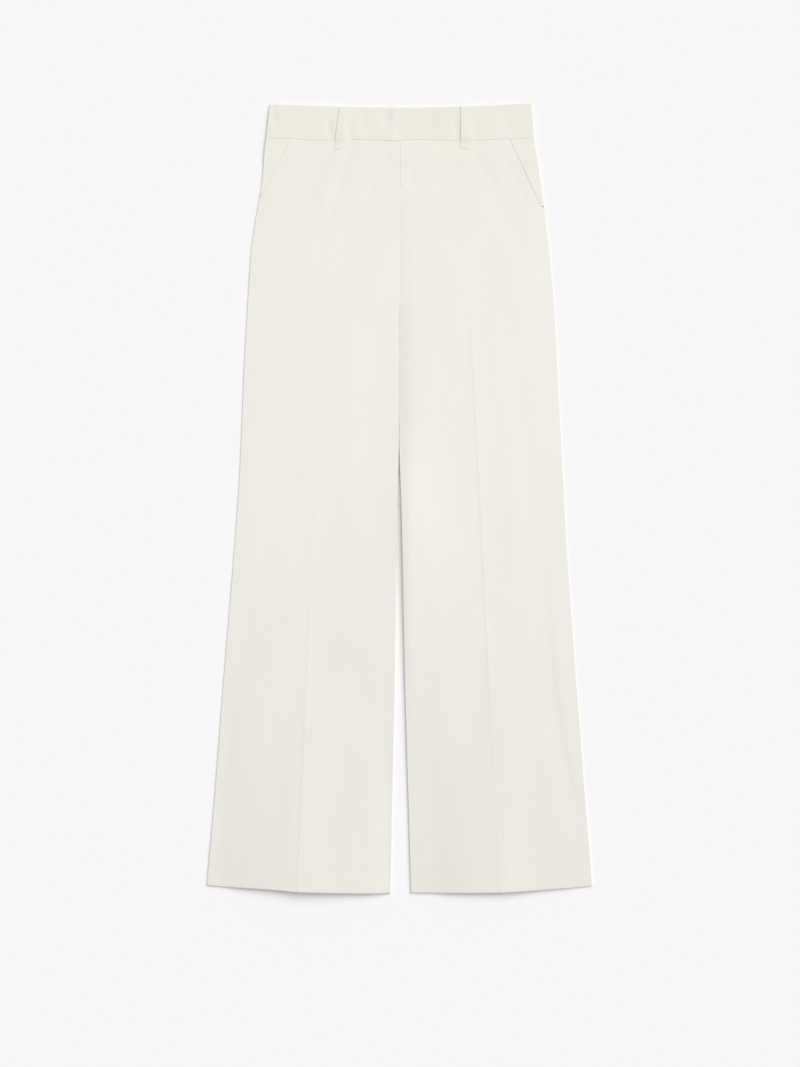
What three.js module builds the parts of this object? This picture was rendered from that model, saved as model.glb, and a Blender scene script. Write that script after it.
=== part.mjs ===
// Wide-leg trousers in ribbed velvet, laid flat with the front side up.
// Millimetres. +X is the right of someone looking down at the front, +Y the waist, +Z up.
// "Right" and "left" in the names are the wearer's, so the right leg is on the -X side.
// Levels along the garment are stated as "down": the distance below the top of the waistband.
import * as THREE from "three";
import { mergeVertices } from "three/addons/utils/BufferGeometryUtils.js";

const CLOTH = 1.6;            // wall of one layer of pile cloth
const SEAM_GAP = 0.3;         // clearance between two pieces at a seam or in a stack
const BAND_CLOTH = 2.4;       // the waistband is folded double
const BEARER_CLOTH = 1.1;     // the cloth inside a pocket mouth, pressed by the layer over it
const HEM_CLOTH = 3.1;        // a turned-up hem, two layers pressed together
const HEM_TURN = 56;          // depth of the turned-up hem
const RIM_RADIUS = 3.0;       // roll of a panel where it turns under at a side
const CUT_RADIUS = 0.9;       // roll of a free folded edge
const FLY_LAP = 12;           // how far the right front lies over the left one
const FLY_EDGE = 0.7;         // where the right front's lapping edge lies across the garment
const CROTCH = { top: 290, bottom: 335 };  // where one body becomes two legs
const LAP_END = { top: 235, bottom: 285 }; // where the lap runs out above the crotch
const CREASE = { height: 0.9, width: 3.5, fadeTop: 170, fullFrom: 420 };
const LOOP = { width: 12, cloth: 1.8, down: 60, stand: 1.2, turnedEnd: 0.7, rest: 0.25 };
const BACK_LOOP = { width: 12, length: 58, cloth: 1.2, below: 1.2, bevel: 0.4 };
const EDGE_CLOTH = 0.3;       // wall of a cut edge at its tip
const REST_GAP = 0.35;        // least room left between a front and the back below it
const HEM_ROLL = { depth: 2.2, fall: 0.8 };  // how the hem's fold rounds over

// The left front dips where it runs under the lap, and lies lower beside the right leg.
const LAP_ROOM = { top: 0.8, bottom: 0.3, from: 60, to: 240 };
const LAP_DIP = { start: 3, narrow: 6, wide: 15, from: 140, to: 240 };
const LEG_DIP = { depth: 1.1, from: 470, to: 560 };
const LAP_RISE = { start: 16, end: -1 };     // where the right front rises, beside the lap
const SWELL_REACH = { outer: 16, inner: 14, fold: 8 };

// A table with named columns. One row per level or place.
function table(names, rows) {
  const keys = names.trim().split(/\s+/);
  return rows.map((row) => Object.fromEntries(keys.map((key, i) => [key, row[i]])));
}

// Outline of the two legs, across from the centre line, at levels down the garment.
const LEGS = table("down rightOuter rightInner leftInner leftOuter", [
  [0, -181.6, -0.65, -0.35, 184.0],
  [12, -183.6, -0.65, -0.35, 186.9],
  [45, -187.3, -0.65, -0.35, 189.0],
  [65, -190.0, -0.65, -0.35, 191.8],
  [104, -192.8, -0.65, -0.35, 198.4],
  [144, -199.0, -0.65, -0.35, 203.6],
  [183, -206.4, -0.65, -0.35, 208.4],
  [222, -210.4, -0.65, -0.35, 212.8],
  [262, -212.6, -0.65, -0.35, 216.4],
  [301, -214.9, -0.65, -0.35, 218.9],
  [361, -218.3, -0.65, -0.35, 222.0],
  [420, -220.8, -0.65, -0.35, 225.0],
  [479, -223.0, -0.9, -0.2, 228.0],
  [538, -226.0, -2.3, 1.2, 231.2],
  [592, -229.8, -3.6, 2.8, 233.8],
  [659, -235.0, -4.5, 4.2, 238.0],
  [727, -240.7, -5.3, 5.5, 243.0],
  [795, -246.3, -6.1, 7.0, 247.6],
  [862, -251.6, -7.4, 8.7, 252.8],
  [930, -256.7, -8.9, 10.6, 258.0],
  [998, -262.0, -10.4, 12.8, 263.2],
  [1065, -267.6, -11.6, 14.7, 268.6],
  [1112, -271.2, -12.7, 16.2, 271.2],
]);

// Heights of the stack: the underside, the rim where front and back meet, the top
// beside a rolled side, and how much higher the top swells between the sides.
const STACK = table("down lift rim side swell", [
  [46, 1.5, 3.4, 6.7, 0.3],
  [66, 1.5, 3.4, 6.7, 0.3],
  [96, 0.0, 2.4, 6.0, 0.4],
  [125, 0.0, 2.3, 5.6, 0.6],
  [165, 0.0, 2.2, 5.0, 1.0],
  [300, 0.0, 2.2, 4.4, 1.3],
  [450, 0.0, 2.2, 4.4, 1.1],
  [700, 0.0, 2.2, 4.4, 1.0],
  [880, 0.0, 2.4, 4.5, 1.0],
  [1040, 0.0, 3.4, 6.4, 0.6],
  [1112, 0.0, 3.6, 6.8, 0.3],
]);

// The hems spring open at their creases: how far each front stands off there.
const HEM_SPRING = {
  right: table("across lift", [
    [-271, 0], [-255, 0.3], [-225, 1.3], [-183, 2.2], [-145, 2.9], [-112, 2.6], [-70, 2.2],
    [-30, 1.2], [-13, 0.3],
  ]),
  left: table("across lift", [
    [16, 0], [29, 0.3], [71, 1.4], [113, 2.1], [142, 2.6], [163, 2.1], [205, 0.9], [254, 0.1],
    [271, 0],
  ]),
};
const SPRING_FROM = 960;      // where the hems begin to rise, down the garment
const SPRING_BEND = 1.6;      // how suddenly they bend up

// The waist and hem lines: the top of the band, the seam below it, and the hem.
const WAIST = table("across top seam", [
  [-190, 1.0, 46.4], [-139, 2.5, 47.6], [-82, 4.4, 49.0], [-20, 5.6, 49.8], [20, 5.8, 49.2],
  [87, 4.0, 48.0], [132, 2.6, 47.2], [165, 0.5, 46.4], [190, 0.0, 45.8],
]);
const HEM = table("across down", [
  [-272, 1100.4], [-252, 1102.3], [-184, 1105.8], [-143, 1109.0], [-105, 1110.4], [-37, 1111.8],
  [0, 1111.0], [53, 1111.2], [120, 1110.6], [166, 1109.2], [211, 1106.2], [245, 1104.2], [272, 1101.0],
]);

// The pressed creases, the slanted pocket mouths and the centres of the front belt loops.
const SIDES = {
  right: {
    name: "right", sign: -1, outer: "rightOuter", inner: "rightInner",
    creaseTop: -94.9, creaseHem: -143.1,
    pocketTop: -151.0, pocketEnd: -195.5, pocketDown: 132,
    loopTop: -81.8, loopEnd: -86.2,
  },
  left: {
    name: "left", sign: 1, outer: "leftOuter", inner: "leftInner",
    creaseTop: 84.8, creaseHem: 141.6,
    pocketTop: 153.0, pocketEnd: 199.5, pocketDown: 146,
    loopTop: 92.0, loopEnd: 91.6,
  },
};
const MOUTH_TURN = 10;         // how soon the front turns under below a pocket mouth
const MOUTH_TUCK = 12;         // how far the cloth inside runs under the pocket mouth
const BACK_LOOPS = { right: -112, centre: 0, left: 114 };
const SEAM_LEVEL = 48;        // nominal level of the seam below the band
const HEM_LEVEL = 1111;       // nominal level of the hem

// Largest folds: soft troughs pulled from the waist towards the sides, and long ones in the
// legs. Each runs from start through middle to end; a minus depth makes a ridge.
const FOLDS = table("x0 d0 x1 d1 x2 d2 depth width", [
  [-96, 66, -133, 142, -161, 214, 1.2, 10],
  [-63, 66, -85, 112, -114, 216, 1.2, 10],
  [-24, 60, -34, 108, -60, 162, 0.8, 8],
  [-134, 66, -156, 105, -174, 150, 0.7, 8],
  [116, 104, 145, 153, 193, 250, 1.0, 14],
  [140, 64, 164, 106, 191, 174, 0.8, 8],
  [20, 72, 19, 100, 19, 132, 0.6, 8],
  [164, 300, 197, 520, 221, 700, 0.9, 14],
  [219, 640, 227, 820, 257, 985, 1.2, 14],
  [-150, 340, -185, 420, -205, 560, 0.8, 20],
  [-85, 270, -75, 320, -70, 390, -0.6, 24],
  [75, 290, 70, 350, 72, 420, -0.5, 24],
  [-10, 200, -12, 300, -14, 430, 0.8, 9],
]);

// ---------------------------------------------------------------- helpers

const clamp = THREE.MathUtils.clamp;
const lerp = THREE.MathUtils.lerp;
const ease = (value, from, to) => THREE.MathUtils.smoothstep(value, from, to);

// A column read at a place between rows, along a smooth curve that never overshoots them.
function read(rows, key, column, place) {
  const last = rows.length - 1;
  if (place <= rows[0][key]) return rows[0][column];
  if (place >= rows[last][key]) return rows[last][column];
  let i = 0;
  while (rows[i + 1][key] < place) i += 1;
  const slope = (n) => (rows[n + 1][column] - rows[n][column]) / (rows[n + 1][key] - rows[n][key]);
  const tangent = (n) => {
    if (n === 0) return slope(0);
    if (n === last) return slope(last - 1);
    const [a, b] = [slope(n - 1), slope(n)];
    return a * b <= 0 ? 0 : (2 * a * b) / (a + b);
  };
  const span = rows[i + 1][key] - rows[i][key];
  const t = (place - rows[i][key]) / span;
  const [t2, t3] = [t * t, t * t * t];
  return (2 * t3 - 3 * t2 + 1) * rows[i][column] + (t3 - 2 * t2 + t) * span * tangent(i)
    + (3 * t2 - 2 * t3) * rows[i + 1][column] + (t3 - t2) * span * tangent(i + 1);
}
const legEdge = (column, down) => read(LEGS, "down", column, down);
const stack = (column, down) => read(STACK, "down", column, down);
const waist = (column, across) => read(WAIST, "across", column, across);
const hemDown = (across) => read(HEM, "across", "down", across);

const creaseAt = (side, down) => lerp(side.creaseTop, side.creaseHem, down / HEM_LEVEL);
const pocketAt = (side, down) =>
  lerp(side.pocketTop, side.pocketEnd, (down - SEAM_LEVEL) / (side.pocketDown - SEAM_LEVEL));

// Distance from a point to a fold's line, and how far along the fold the point lies.
function foldAt(fold, across, down) {
  let best = { distance: Infinity, along: 0 };
  const points = [[fold.x0, fold.d0], [fold.x1, fold.d1], [fold.x2, fold.d2]];
  for (let i = 0; i < 2; i += 1) {
    const [ax, ad] = points[i];
    const [bx, bd] = points[i + 1];
    const reached = (across - ax) * (bx - ax) + (down - ad) * (bd - ad);
    const t = clamp(reached / ((bx - ax) ** 2 + (bd - ad) ** 2), 0, 1);
    const distance = Math.hypot(across - lerp(ax, bx, t), down - lerp(ad, bd, t));
    if (distance < best.distance) best = { distance, along: (i + t) / 2 };
  }
  return best;
}
function foldDepth(across, down) {
  let depth = 0;
  for (const fold of FOLDS) {
    const { distance, along } = foldAt(fold, across, down);
    const taper = 0.25 + 0.75 * Math.sin(Math.PI * clamp(along * 0.96 + 0.02, 0, 1));
    depth += fold.depth * taper * Math.exp(-((distance / fold.width) ** 2));
  }
  return depth;
}

// How fully the inner edges have turned down into two separate legs, 0 above the crotch.
const legsApart = (down) => ease(down, CROTCH.top, CROTCH.bottom);
const lapAt = (down) => 1 - ease(down, LAP_END.top, LAP_END.bottom);
const lapCovers = (down) => 1 - ease(down, LAP_END.bottom - 3, LAP_END.bottom + 7);
const layerCloth = (down) =>
  lerp(CLOTH, HEM_CLOTH, ease(down, HEM_LEVEL - HEM_TURN - 6, HEM_LEVEL - HEM_TURN + 4));

// The level of the left front where it runs under the lap.
function lapUnder(down) {
  const room = lerp(LAP_ROOM.top, LAP_ROOM.bottom, ease(down, LAP_ROOM.from, LAP_ROOM.to));
  return stack("lift", down) + CLOTH + SEAM_GAP + CLOTH + room;
}

// How far the front stands off towards a sprung hem.
function hemSpring(side, across, down) {
  const bend = Math.max(0, (down - SPRING_FROM) / (HEM_LEVEL - SPRING_FROM)) ** SPRING_BEND;
  return bend * read(HEM_SPRING[side.name], "across", "lift", across);
}

// Height of the upper face of the garment anywhere on the front, without the creases.
function frontTop(side, across, down) {
  const outer = Math.abs(legEdge(side.outer, down) - across);
  const inner = Math.abs(across - legEdge(side.inner, down));
  const apart = legsApart(down);
  const towardsInseam = apart * Math.exp(-inner / SWELL_REACH.inner);
  const swell = (1 - Math.exp(-outer / SWELL_REACH.outer)) * (1 - towardsInseam);
  let top = stack("side", down) + stack("swell", down) * swell;
  top -= foldDepth(across, down) * (1 - Math.exp(-outer / SWELL_REACH.fold));
  if (side.sign > 0) {
    const reach = lerp(LAP_DIP.narrow, LAP_DIP.wide, ease(down, LAP_DIP.from, LAP_DIP.to));
    const beside = LEG_DIP.depth * apart * (1 - ease(down, LEG_DIP.from, LEG_DIP.to));
    const dip = Math.max(0, top - lapUnder(down)) * (1 - apart) + beside;
    top -= dip * (1 - ease(across, LAP_DIP.start, LAP_DIP.start + reach));
  } else {
    const over = lapUnder(down) + SEAM_GAP + CLOTH;
    const near = lapCovers(down) * ease(across, -FLY_LAP - LAP_RISE.start, -FLY_LAP - LAP_RISE.end);
    top = lerp(top, Math.max(top, over), near);
  }
  return top + hemSpring(side, across, down);
}
function creaseHeight(side, across, down) {
  const strength = ease(down, CREASE.fadeTop, CREASE.fullFrom);
  return CREASE.height * strength * Math.exp(-(((across - creaseAt(side, down)) / CREASE.width) ** 2));
}

// A level moved so that the first row follows the seam below the band and the last the hem.
function levelled(down, across) {
  const nearSeam = 1 - ease(down, SEAM_LEVEL, SEAM_LEVEL + 60);
  const nearHem = ease(down, HEM_LEVEL - 110, HEM_LEVEL);
  const seamShift = waist("seam", across) + SEAM_GAP - SEAM_LEVEL;
  const hemShift = hemDown(across) - HEM_LEVEL;
  return down + nearSeam * seamShift + nearHem * hemShift;
}

// A closed piece of cloth from two grids of points [across, down, height], upper face and
// underside, with walls between them all round.
function clothGeometry(rows) {
  const across = rows[0].top.length;
  const positions = [];
  for (const face of ["top", "under"]) {
    for (const row of rows) {
      for (const [x, down, z] of row[face]) positions.push(x, -down, z);
    }
  }
  const top = (i, j) => i * across + j;
  const under = (i, j) => (rows.length + i) * across + j;
  const faces = [];
  const quad = (a, b, c, d) => faces.push(a, b, c, a, c, d);
  for (let i = 0; i < rows.length - 1; i += 1) {
    for (let j = 0; j < across - 1; j += 1) {
      quad(top(i, j), top(i + 1, j), top(i + 1, j + 1), top(i, j + 1));
      quad(under(i, j), under(i, j + 1), under(i + 1, j + 1), under(i + 1, j));
    }
    quad(top(i, 0), under(i, 0), under(i + 1, 0), top(i + 1, 0));
    const j = across - 1;
    quad(top(i, j), top(i + 1, j), under(i + 1, j), under(i, j));
  }
  for (const i of [0, rows.length - 1]) {
    for (let j = 0; j < across - 1; j += 1) {
      if (i === 0) quad(top(i, j), top(i, j + 1), under(i, j + 1), under(i, j));
      else quad(top(i, j), under(i, j), under(i, j + 1), top(i, j + 1));
    }
  }
  const geometry = new THREE.BufferGeometry();
  geometry.setAttribute("position", new THREE.Float32BufferAttribute(positions, 3));
  geometry.setIndex(faces);
  const merged = mergeVertices(geometry, 1e-4);
  merged.computeVertexNormals();
  return merged;
}

const materials = {
  velvet: new THREE.MeshStandardMaterial({ color: 0xebe6da, roughness: 0.95, metalness: 0 }),
  band: new THREE.MeshStandardMaterial({ color: 0xe9e4d6, roughness: 0.95, metalness: 0 }),
};
const trousers = new THREE.Group();
trousers.name = "wide_leg_trousers";
function addCloth(name, rows, material = materials.velvet) {
  const mesh = new THREE.Mesh(clothGeometry(rows), material);
  mesh.name = name;
  trousers.add(mesh);
}

// ---------------------------------------------------------------- sections

// Fractions from an inner edge to the crease, closer together beside the crease.
const TO_CREASE = [0.012, 0.1, 0.23, 0.39, 0.57, 0.77, 0.955];
const TO_OTHER_EDGE = [0.2, 0.4, 0.6, 0.8];  // fractions across a back panel
const LAP_CLEAR = 1.5;        // how far beyond the lapping edge the left front starts to rise
const RIM_TURNS = [0, 32, 62, 90].map(THREE.MathUtils.degToRad);

// Rows of nominal levels, closer where the pockets, folds, crotch and hem are.
const PANEL_LEVELS = [
  48, 57, 66, 77, 90, 104, 118, 130, 142, 154, 168, 183, 200, 218, 238, 252, 264, 274, 282, 292, 305,
  320, 335, 360, 400, 440, 480, 515, 550, 590, 640, 700, 760, 820, 880, 940, 990, 1030, 1050, 1062,
  1085, 1104, 1109.6, 1111,
];
const BACK_LEVELS = [
  48, 57, 66, 77, 90, 104, 118, 130, 142, 160, 205, 260, 300, 320, 335, 380, 430, 480, 530, 590, 660, 740,
  820, 900, 970, 1035, 1050, 1062, 1090, 1109.6, 1111,
];

// One section of an upper panel, from its left edge to its right edge. turn is how far an
// edge has turned down to the rim: 1 at a side, 0 at a free or butted edge.
function upperSection(edges, places, topAt, ridgeAt, cloth, rimHeight) {
  const row = { top: [], under: [] };
  const rim = (edge, inward, turns) => {
    const radius = lerp(CUT_RADIUS, RIM_RADIUS, edge.turn);
    const wall = lerp(EDGE_CLOTH, Math.min(cloth, RIM_RADIUS - 2 * SEAM_GAP), edge.turn);
    const crown = edge.across + inward * radius;
    const [topCrown, underCrown] = [topAt(crown), topAt(crown) - cloth];
    const footTop = lerp(underCrown + 0.25 * cloth, rimHeight + SEAM_GAP / 2, edge.turn);
    const footUnder = lerp(underCrown, rimHeight + SEAM_GAP / 2, edge.turn);
    for (const turn of turns) {
      const [inset, rise] = [1 - Math.cos(turn), Math.sin(turn)];
      const wallInset = wall + (radius - wall) * inset;
      row.top.push([edge.across + inward * radius * inset, lerp(footTop, topCrown, rise)]);
      row.under.push([edge.across + inward * wallInset, lerp(footUnder, underCrown, rise)]);
    }
  };
  rim(edges[0], 1, RIM_TURNS);
  for (const x of places) {
    row.top.push([x, topAt(x) + ridgeAt(x)]);
    row.under.push([x, topAt(x) - cloth]);
  }
  rim(edges[1], -1, [...RIM_TURNS].reverse());
  return row;
}
const placed = (row, nominal) => ({
  top: row.top.map(([x, z]) => [x, levelled(nominal, x), z]),
  under: row.under.map(([x, z]) => [x, levelled(nominal, x), z]),
});

// Where a front panel's edges lie, and how far each has turned down.
function frontEdges(side, down) {
  const outline = legEdge(side.outer, down);
  const overlap = side.sign < 0 ? FLY_EDGE : FLY_EDGE - FLY_LAP;
  const inner = lerp(legEdge(side.inner, down), overlap, lapAt(down));
  const mouth = ease(down, side.pocketDown, side.pocketDown + MOUTH_TURN);
  const outer = lerp(pocketAt(side, Math.min(down, side.pocketDown)), outline, mouth);
  return {
    inner: { across: inner, turn: legsApart(down) },
    outer: { across: side.sign * Math.min(Math.abs(outer), Math.abs(outline)), turn: mouth },
  };
}

// The panel's levels, with rows of their own where the pocket mouth meets the side.
function frontLevels(side) {
  const mouth = [0, MOUTH_TURN / 2, MOUTH_TURN].map((past) => side.pocketDown + past);
  const apart = (down) => down < mouth[0] - 4 || down > mouth[2] + 3;
  return [...PANEL_LEVELS.filter(apart), ...mouth].sort((a, b) => a - b);
}

function frontPanel(side) {
  return frontLevels(side).map((down) => {
    const { inner, outer } = frontEdges(side, down);
    const crease = creaseAt(side, down);
    const from = inner.across + side.sign * lerp(CUT_RADIUS, RIM_RADIUS, inner.turn);
    const to = outer.across - side.sign * lerp(CUT_RADIUS, RIM_RADIUS, outer.turn);
    // on the left front the first column past the rim stands just clear of the lap
    const clear = side.sign > 0 ? lerp(from, FLY_EDGE + LAP_CLEAR, lapAt(down)) : from;
    const inwards = TO_CREASE.map((t) => lerp(clear, crease, t));
    const outwards = [...TO_CREASE].reverse().map((t) => lerp(to, crease, t));
    const places = [...inwards, crease, ...outwards];
    const edges = [inner, outer];
    if (side.sign < 0) {
      places.reverse();
      edges.reverse();
    }
    const cloth = layerCloth(down);
    const fall = HEM_ROLL.fall * ease(down, HEM_LEVEL - HEM_ROLL.depth, HEM_LEVEL);
    const lowest = backTop(down) + REST_GAP + cloth;
    const topAt = (x) => Math.max(frontTop(side, x, down), lowest) - fall;
    const ridgeAt = (x) => creaseHeight(side, x, down);
    return placed(upperSection(edges, places, topAt, ridgeAt, cloth - fall, stack("rim", down)), down);
  });
}

// The back lies flat on the surface. Its upper face is one layer above its underside.
const backTop = (down) => stack("lift", down) + layerCloth(down);

function backPanel(side) {
  return BACK_LEVELS.map((down) => {
    const apart = legsApart(down);
    const outer = legEdge(side.outer, down);
    const inner = lerp(side.sign * SEAM_GAP / 2, legEdge(side.inner, down), apart);
    const [lift, cloth] = [stack("lift", down), layerCloth(down)];
    const rim = stack("rim", down) - SEAM_GAP / 2;
    const row = { top: [], under: [] };
    const edge = (across, turn, inward, turns) => {
      const radius = lerp(CUT_RADIUS, RIM_RADIUS, turn);
      const wall = lerp(EDGE_CLOTH, Math.min(cloth, RIM_RADIUS - 2 * SEAM_GAP), turn);
      const lip = lerp(lift + 0.75 * cloth, rim, turn);
      const lipInner = lerp(lift + cloth, rim, turn);
      for (const angle of turns) {
        const [inset, fall] = [1 - Math.cos(angle), Math.sin(angle)];
        const wallInset = wall + (radius - wall) * inset;
        row.under.push([across + inward * radius * inset, lerp(lip, lift, fall)]);
        row.top.push([across + inward * wallInset, lerp(lipInner, lift + cloth, fall)]);
      }
    };
    const ends = [[inner, apart], [outer, 1]];
    if (side.sign < 0) ends.reverse();
    const [[first, firstTurn], [last, lastTurn]] = ends;
    edge(first, firstTurn, 1, RIM_TURNS);
    for (const t of TO_OTHER_EDGE) {
      const x = lerp(first + RIM_RADIUS, last - RIM_RADIUS, t);
      row.under.push([x, lift]);
      row.top.push([x, lift + cloth]);
    }
    edge(last, lastTurn, -1, [...RIM_TURNS].reverse());
    return placed(row, down);
  });
}

// The cloth inside a slanted pocket mouth: from the side of the garment to just under the
// front's pocket edge.
function pocketBearer(side) {
  const bottom = side.pocketDown - 4 * SEAM_GAP;
  const levels = [...frontLevels(side).filter((down) => down < side.pocketDown - 4), bottom];
  return levels.map((down) => {
    const ends = [
      { across: pocketAt(side, down) - side.sign * MOUTH_TUCK, turn: 0 },
      { across: legEdge(side.outer, down), turn: 1 },
    ];
    if (side.sign < 0) ends.reverse();
    const topAt = (x) => frontTop(side, x, down) - CLOTH - 1.4 * SEAM_GAP;
    const [from, to] = [ends[0].across + RIM_RADIUS, ends[1].across - RIM_RADIUS];
    const places = [0.25, 0.5, 0.75].map((t) => lerp(from, to, t));
    return placed(upperSection(ends, places, topAt, () => 0, BEARER_CLOTH, stack("rim", down)), down);
  });
}

// ---------------------------------------------------------------- waistband and belt loops

const BAND = {
  lift: 1.5, rim: 4.05, top: 7.1,            // underside, where front and back meet, outer face
  lapRise: 1.9, lapFrom: -34, lapSink: 1.25, // the right half rises over the sunken left one
  roll: 1.1, rollShare: 0.12,                // how its folded edges round over
  backShort: 0.5, backRoll: 0.6, backEnd: 1.9,
  endRise: 0.35,
};
const BAND_STEPS = [0, 0.035, 0.12, 0.37, 0.63, 0.88, 0.965, 1];  // down the band
const BAND_END = table("inset rise", [[0, 0], [0.4, 0.5], [1.2, 0.85], [2.6, 1]]);  // its rolled ends
const LAP_EDGE = table("inset fall", [[0.9, 0], [0.3, 0.25], [0, 0.8]]);
const LAP_START = table("inset fall", [[0, 0.6], [0.8, 0]]);
// Where the halves of the front band and the back band have their columns.
const RIGHT_BAND = [-165, -140, -112, -84, -58, -38, -30, -24, -18, -12, -6];
const LEFT_BAND = [-4, 2.5, 7, 11, 16, 24, 40, 62, 88, 112, 140, 165];
const BACK_BAND = [-150, -100, -50, 0, 50, 100, 150];

// The band's two folded edges roll over: 0 on the flat of the band, 1 at an edge.
function edgeRoll(step) {
  const fromEdge = clamp(Math.min(step, 1 - step) / BAND.rollShare, 0, 1);
  return 1 - Math.sin((Math.PI / 2) * fromEdge);
}
const lapLift = (across) => BAND.lapRise * ease(across, BAND.lapFrom, -FLY_LAP);
const lapSink = (across) => BAND.lapSink * (1 - ease(across, FLY_EDGE + LAP_CLEAR, FLY_LAP + 3));
const bandDown = (across, step, short = 0) => lerp(waist("top", across) + short, waist("seam", across), step);
const bandTop = (step) => BAND.top - BAND.roll * edgeRoll(step);

function frontBand(side) {
  const right = side.sign < 0;
  const underside = BAND.rim + SEAM_GAP / 2;
  return BAND_STEPS.map((step) => {
    const row = { top: [], under: [] };
    const put = (x, top, under) => {
      row.top.push([x, bandDown(x, step), top]);
      row.under.push([x, bandDown(x, step), under]);
    };
    const outer = legEdge(side.outer, bandDown(side.sign * 150, step));
    const end = BAND_END.map(({ inset, rise }) => ({
      x: outer - side.sign * inset,
      top: lerp(underside + BAND.endRise, bandTop(step), rise),
    }));
    if (right) {
      for (const { x, top } of end) put(x, top, underside);
      for (const x of RIGHT_BAND) put(x, bandTop(step) + lapLift(x), underside + lapLift(x));
      for (const { inset, fall } of LAP_EDGE) {
        put(FLY_EDGE - inset, bandTop(step) + BAND.lapRise - fall, underside + BAND.lapRise);
      }
    } else {
      // the left half starts under the lap, lower by the layer that laps over it
      const start = FLY_EDGE - FLY_LAP;
      for (const { inset, fall } of LAP_START) {
        put(start + inset, bandTop(step) - BAND.lapSink - fall, underside);
      }
      for (const x of LEFT_BAND) put(x, bandTop(step) - lapSink(x), underside);
      for (const { x, top } of end.reverse()) put(x, top, underside);
    }
    return row;
  });
}

function backBand() {
  const top = BAND.lift + BAND_CLOTH;
  return BAND_STEPS.map((step) => {
    const row = { top: [], under: [] };
    const down = bandDown(150, step, BAND.backShort);
    const roll = BAND.backRoll * edgeRoll(step);
    const put = (x, rise) => {
      const level = bandDown(x, step, BAND.backShort);
      row.top.push([x, level, top - roll]);
      row.under.push([x, level, BAND.lift + BAND.backEnd * rise + roll * (1 - rise)]);
    };
    for (const { inset, rise } of BAND_END) put(legEdge("rightOuter", down) + inset, 1 - rise);
    for (const x of BACK_BAND) put(x, 0);
    for (const { inset, rise } of [...BAND_END].reverse()) put(legEdge("leftOuter", down) - inset, 1 - rise);
    return row;
  });
}

const LOOP_STEPS = [0, 0.04, 0.1, 0.18, 0.28, 0.4, 0.52, 0.64, 0.74, 0.8, 0.86, 0.92, 0.97, 1];
const LOOP_TACK = 0.86;       // how far down a loop its tacked, turned-under end starts
const LOOP_EDGE = table("inset under fall", [[0, 0.3, 1.05], [0.7, 0.9, 0.32], [2.2, 2.2, 0]]);

// A front belt loop stands a little off the band and is tacked down at both ends.
function frontLoop(side) {
  const first = waist("top", side.loopTop) + 2 * SEAM_GAP;
  return LOOP_STEPS.map((step) => {
    const down = first + LOOP.down * step;
    const centre = lerp(side.loopTop, side.loopEnd, step);
    const seam = waist("seam", centre);
    const onBand = 1 - ease(down, seam - 1, seam + 3);
    const onFront = frontTop(side, centre, Math.max(down, SEAM_LEVEL)) + LOOP.rest;
    const stand = LOOP.stand * Math.sin(Math.PI * clamp(step / LOOP_TACK, 0, 1)) ** 0.7;
    const under = lerp(onFront, BAND.top, onBand) + SEAM_GAP + stand;
    const turned = LOOP.turnedEnd * ease(step, LOOP_TACK - 0.02, LOOP_TACK + 0.04);
    const cut = step === 0 || step === 1 ? 0.5 : 0;
    const top = under + LOOP.cloth + turned - cut;
    const row = { top: [], under: [] };
    const put = (sign, edge) => {
      const rim = centre + sign * LOOP.width / 2;
      row.top.push([rim - sign * edge.inset, down, top - edge.fall]);
      row.under.push([rim - sign * edge.under, down, under]);
    };
    for (const edge of LOOP_EDGE) put(-1, edge);
    for (const edge of [...LOOP_EDGE].reverse()) put(1, edge);
    return row;
  });
}

// A back belt loop is pressed flat between the back band and the surface.
function backLoop(centre) {
  const first = waist("top", centre) + BACK_LOOP.below;
  const half = BACK_LOOP.width / 2;
  const foot = half - BACK_LOOP.bevel;
  return [0, 0.5, 1].map((step) => {
    const down = first + BACK_LOOP.length * step;
    return {
      top: [-half, -half / 3, half / 3, half].map((x) => [centre + x, down, BACK_LOOP.cloth]),
      under: [-foot, -half / 3, half / 3, foot].map((x) => [centre + x, down, 0]),
    };
  });
}

// ---------------------------------------------------------------- the garment

addCloth("back_right", backPanel(SIDES.right));
addCloth("back_left", backPanel(SIDES.left));
addCloth("front_right", frontPanel(SIDES.right));
addCloth("front_left", frontPanel(SIDES.left));
addCloth("pocket_bearer_right", pocketBearer(SIDES.right));
addCloth("pocket_bearer_left", pocketBearer(SIDES.left));
addCloth("waistband_back", backBand(), materials.band);
addCloth("waistband_front_right", frontBand(SIDES.right), materials.band);
addCloth("waistband_front_left", frontBand(SIDES.left), materials.band);
addCloth("belt_loop_front_right", frontLoop(SIDES.right), materials.band);
addCloth("belt_loop_front_left", frontLoop(SIDES.left), materials.band);
for (const [place, across] of Object.entries(BACK_LOOPS)) {
  addCloth(`belt_loop_back_${place}`, backLoop(across), materials.band);
}

// The origin is the middle of the garment's box, on the surface that it lies on.
const box = new THREE.Box3().setFromObject(trousers);
trousers.position.set(-(box.min.x + box.max.x) / 2, -(box.min.y + box.max.y) / 2, -box.min.z);
trousers.updateMatrixWorld(true);

export default trousers;
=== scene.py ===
import math
from functools import partial

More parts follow.
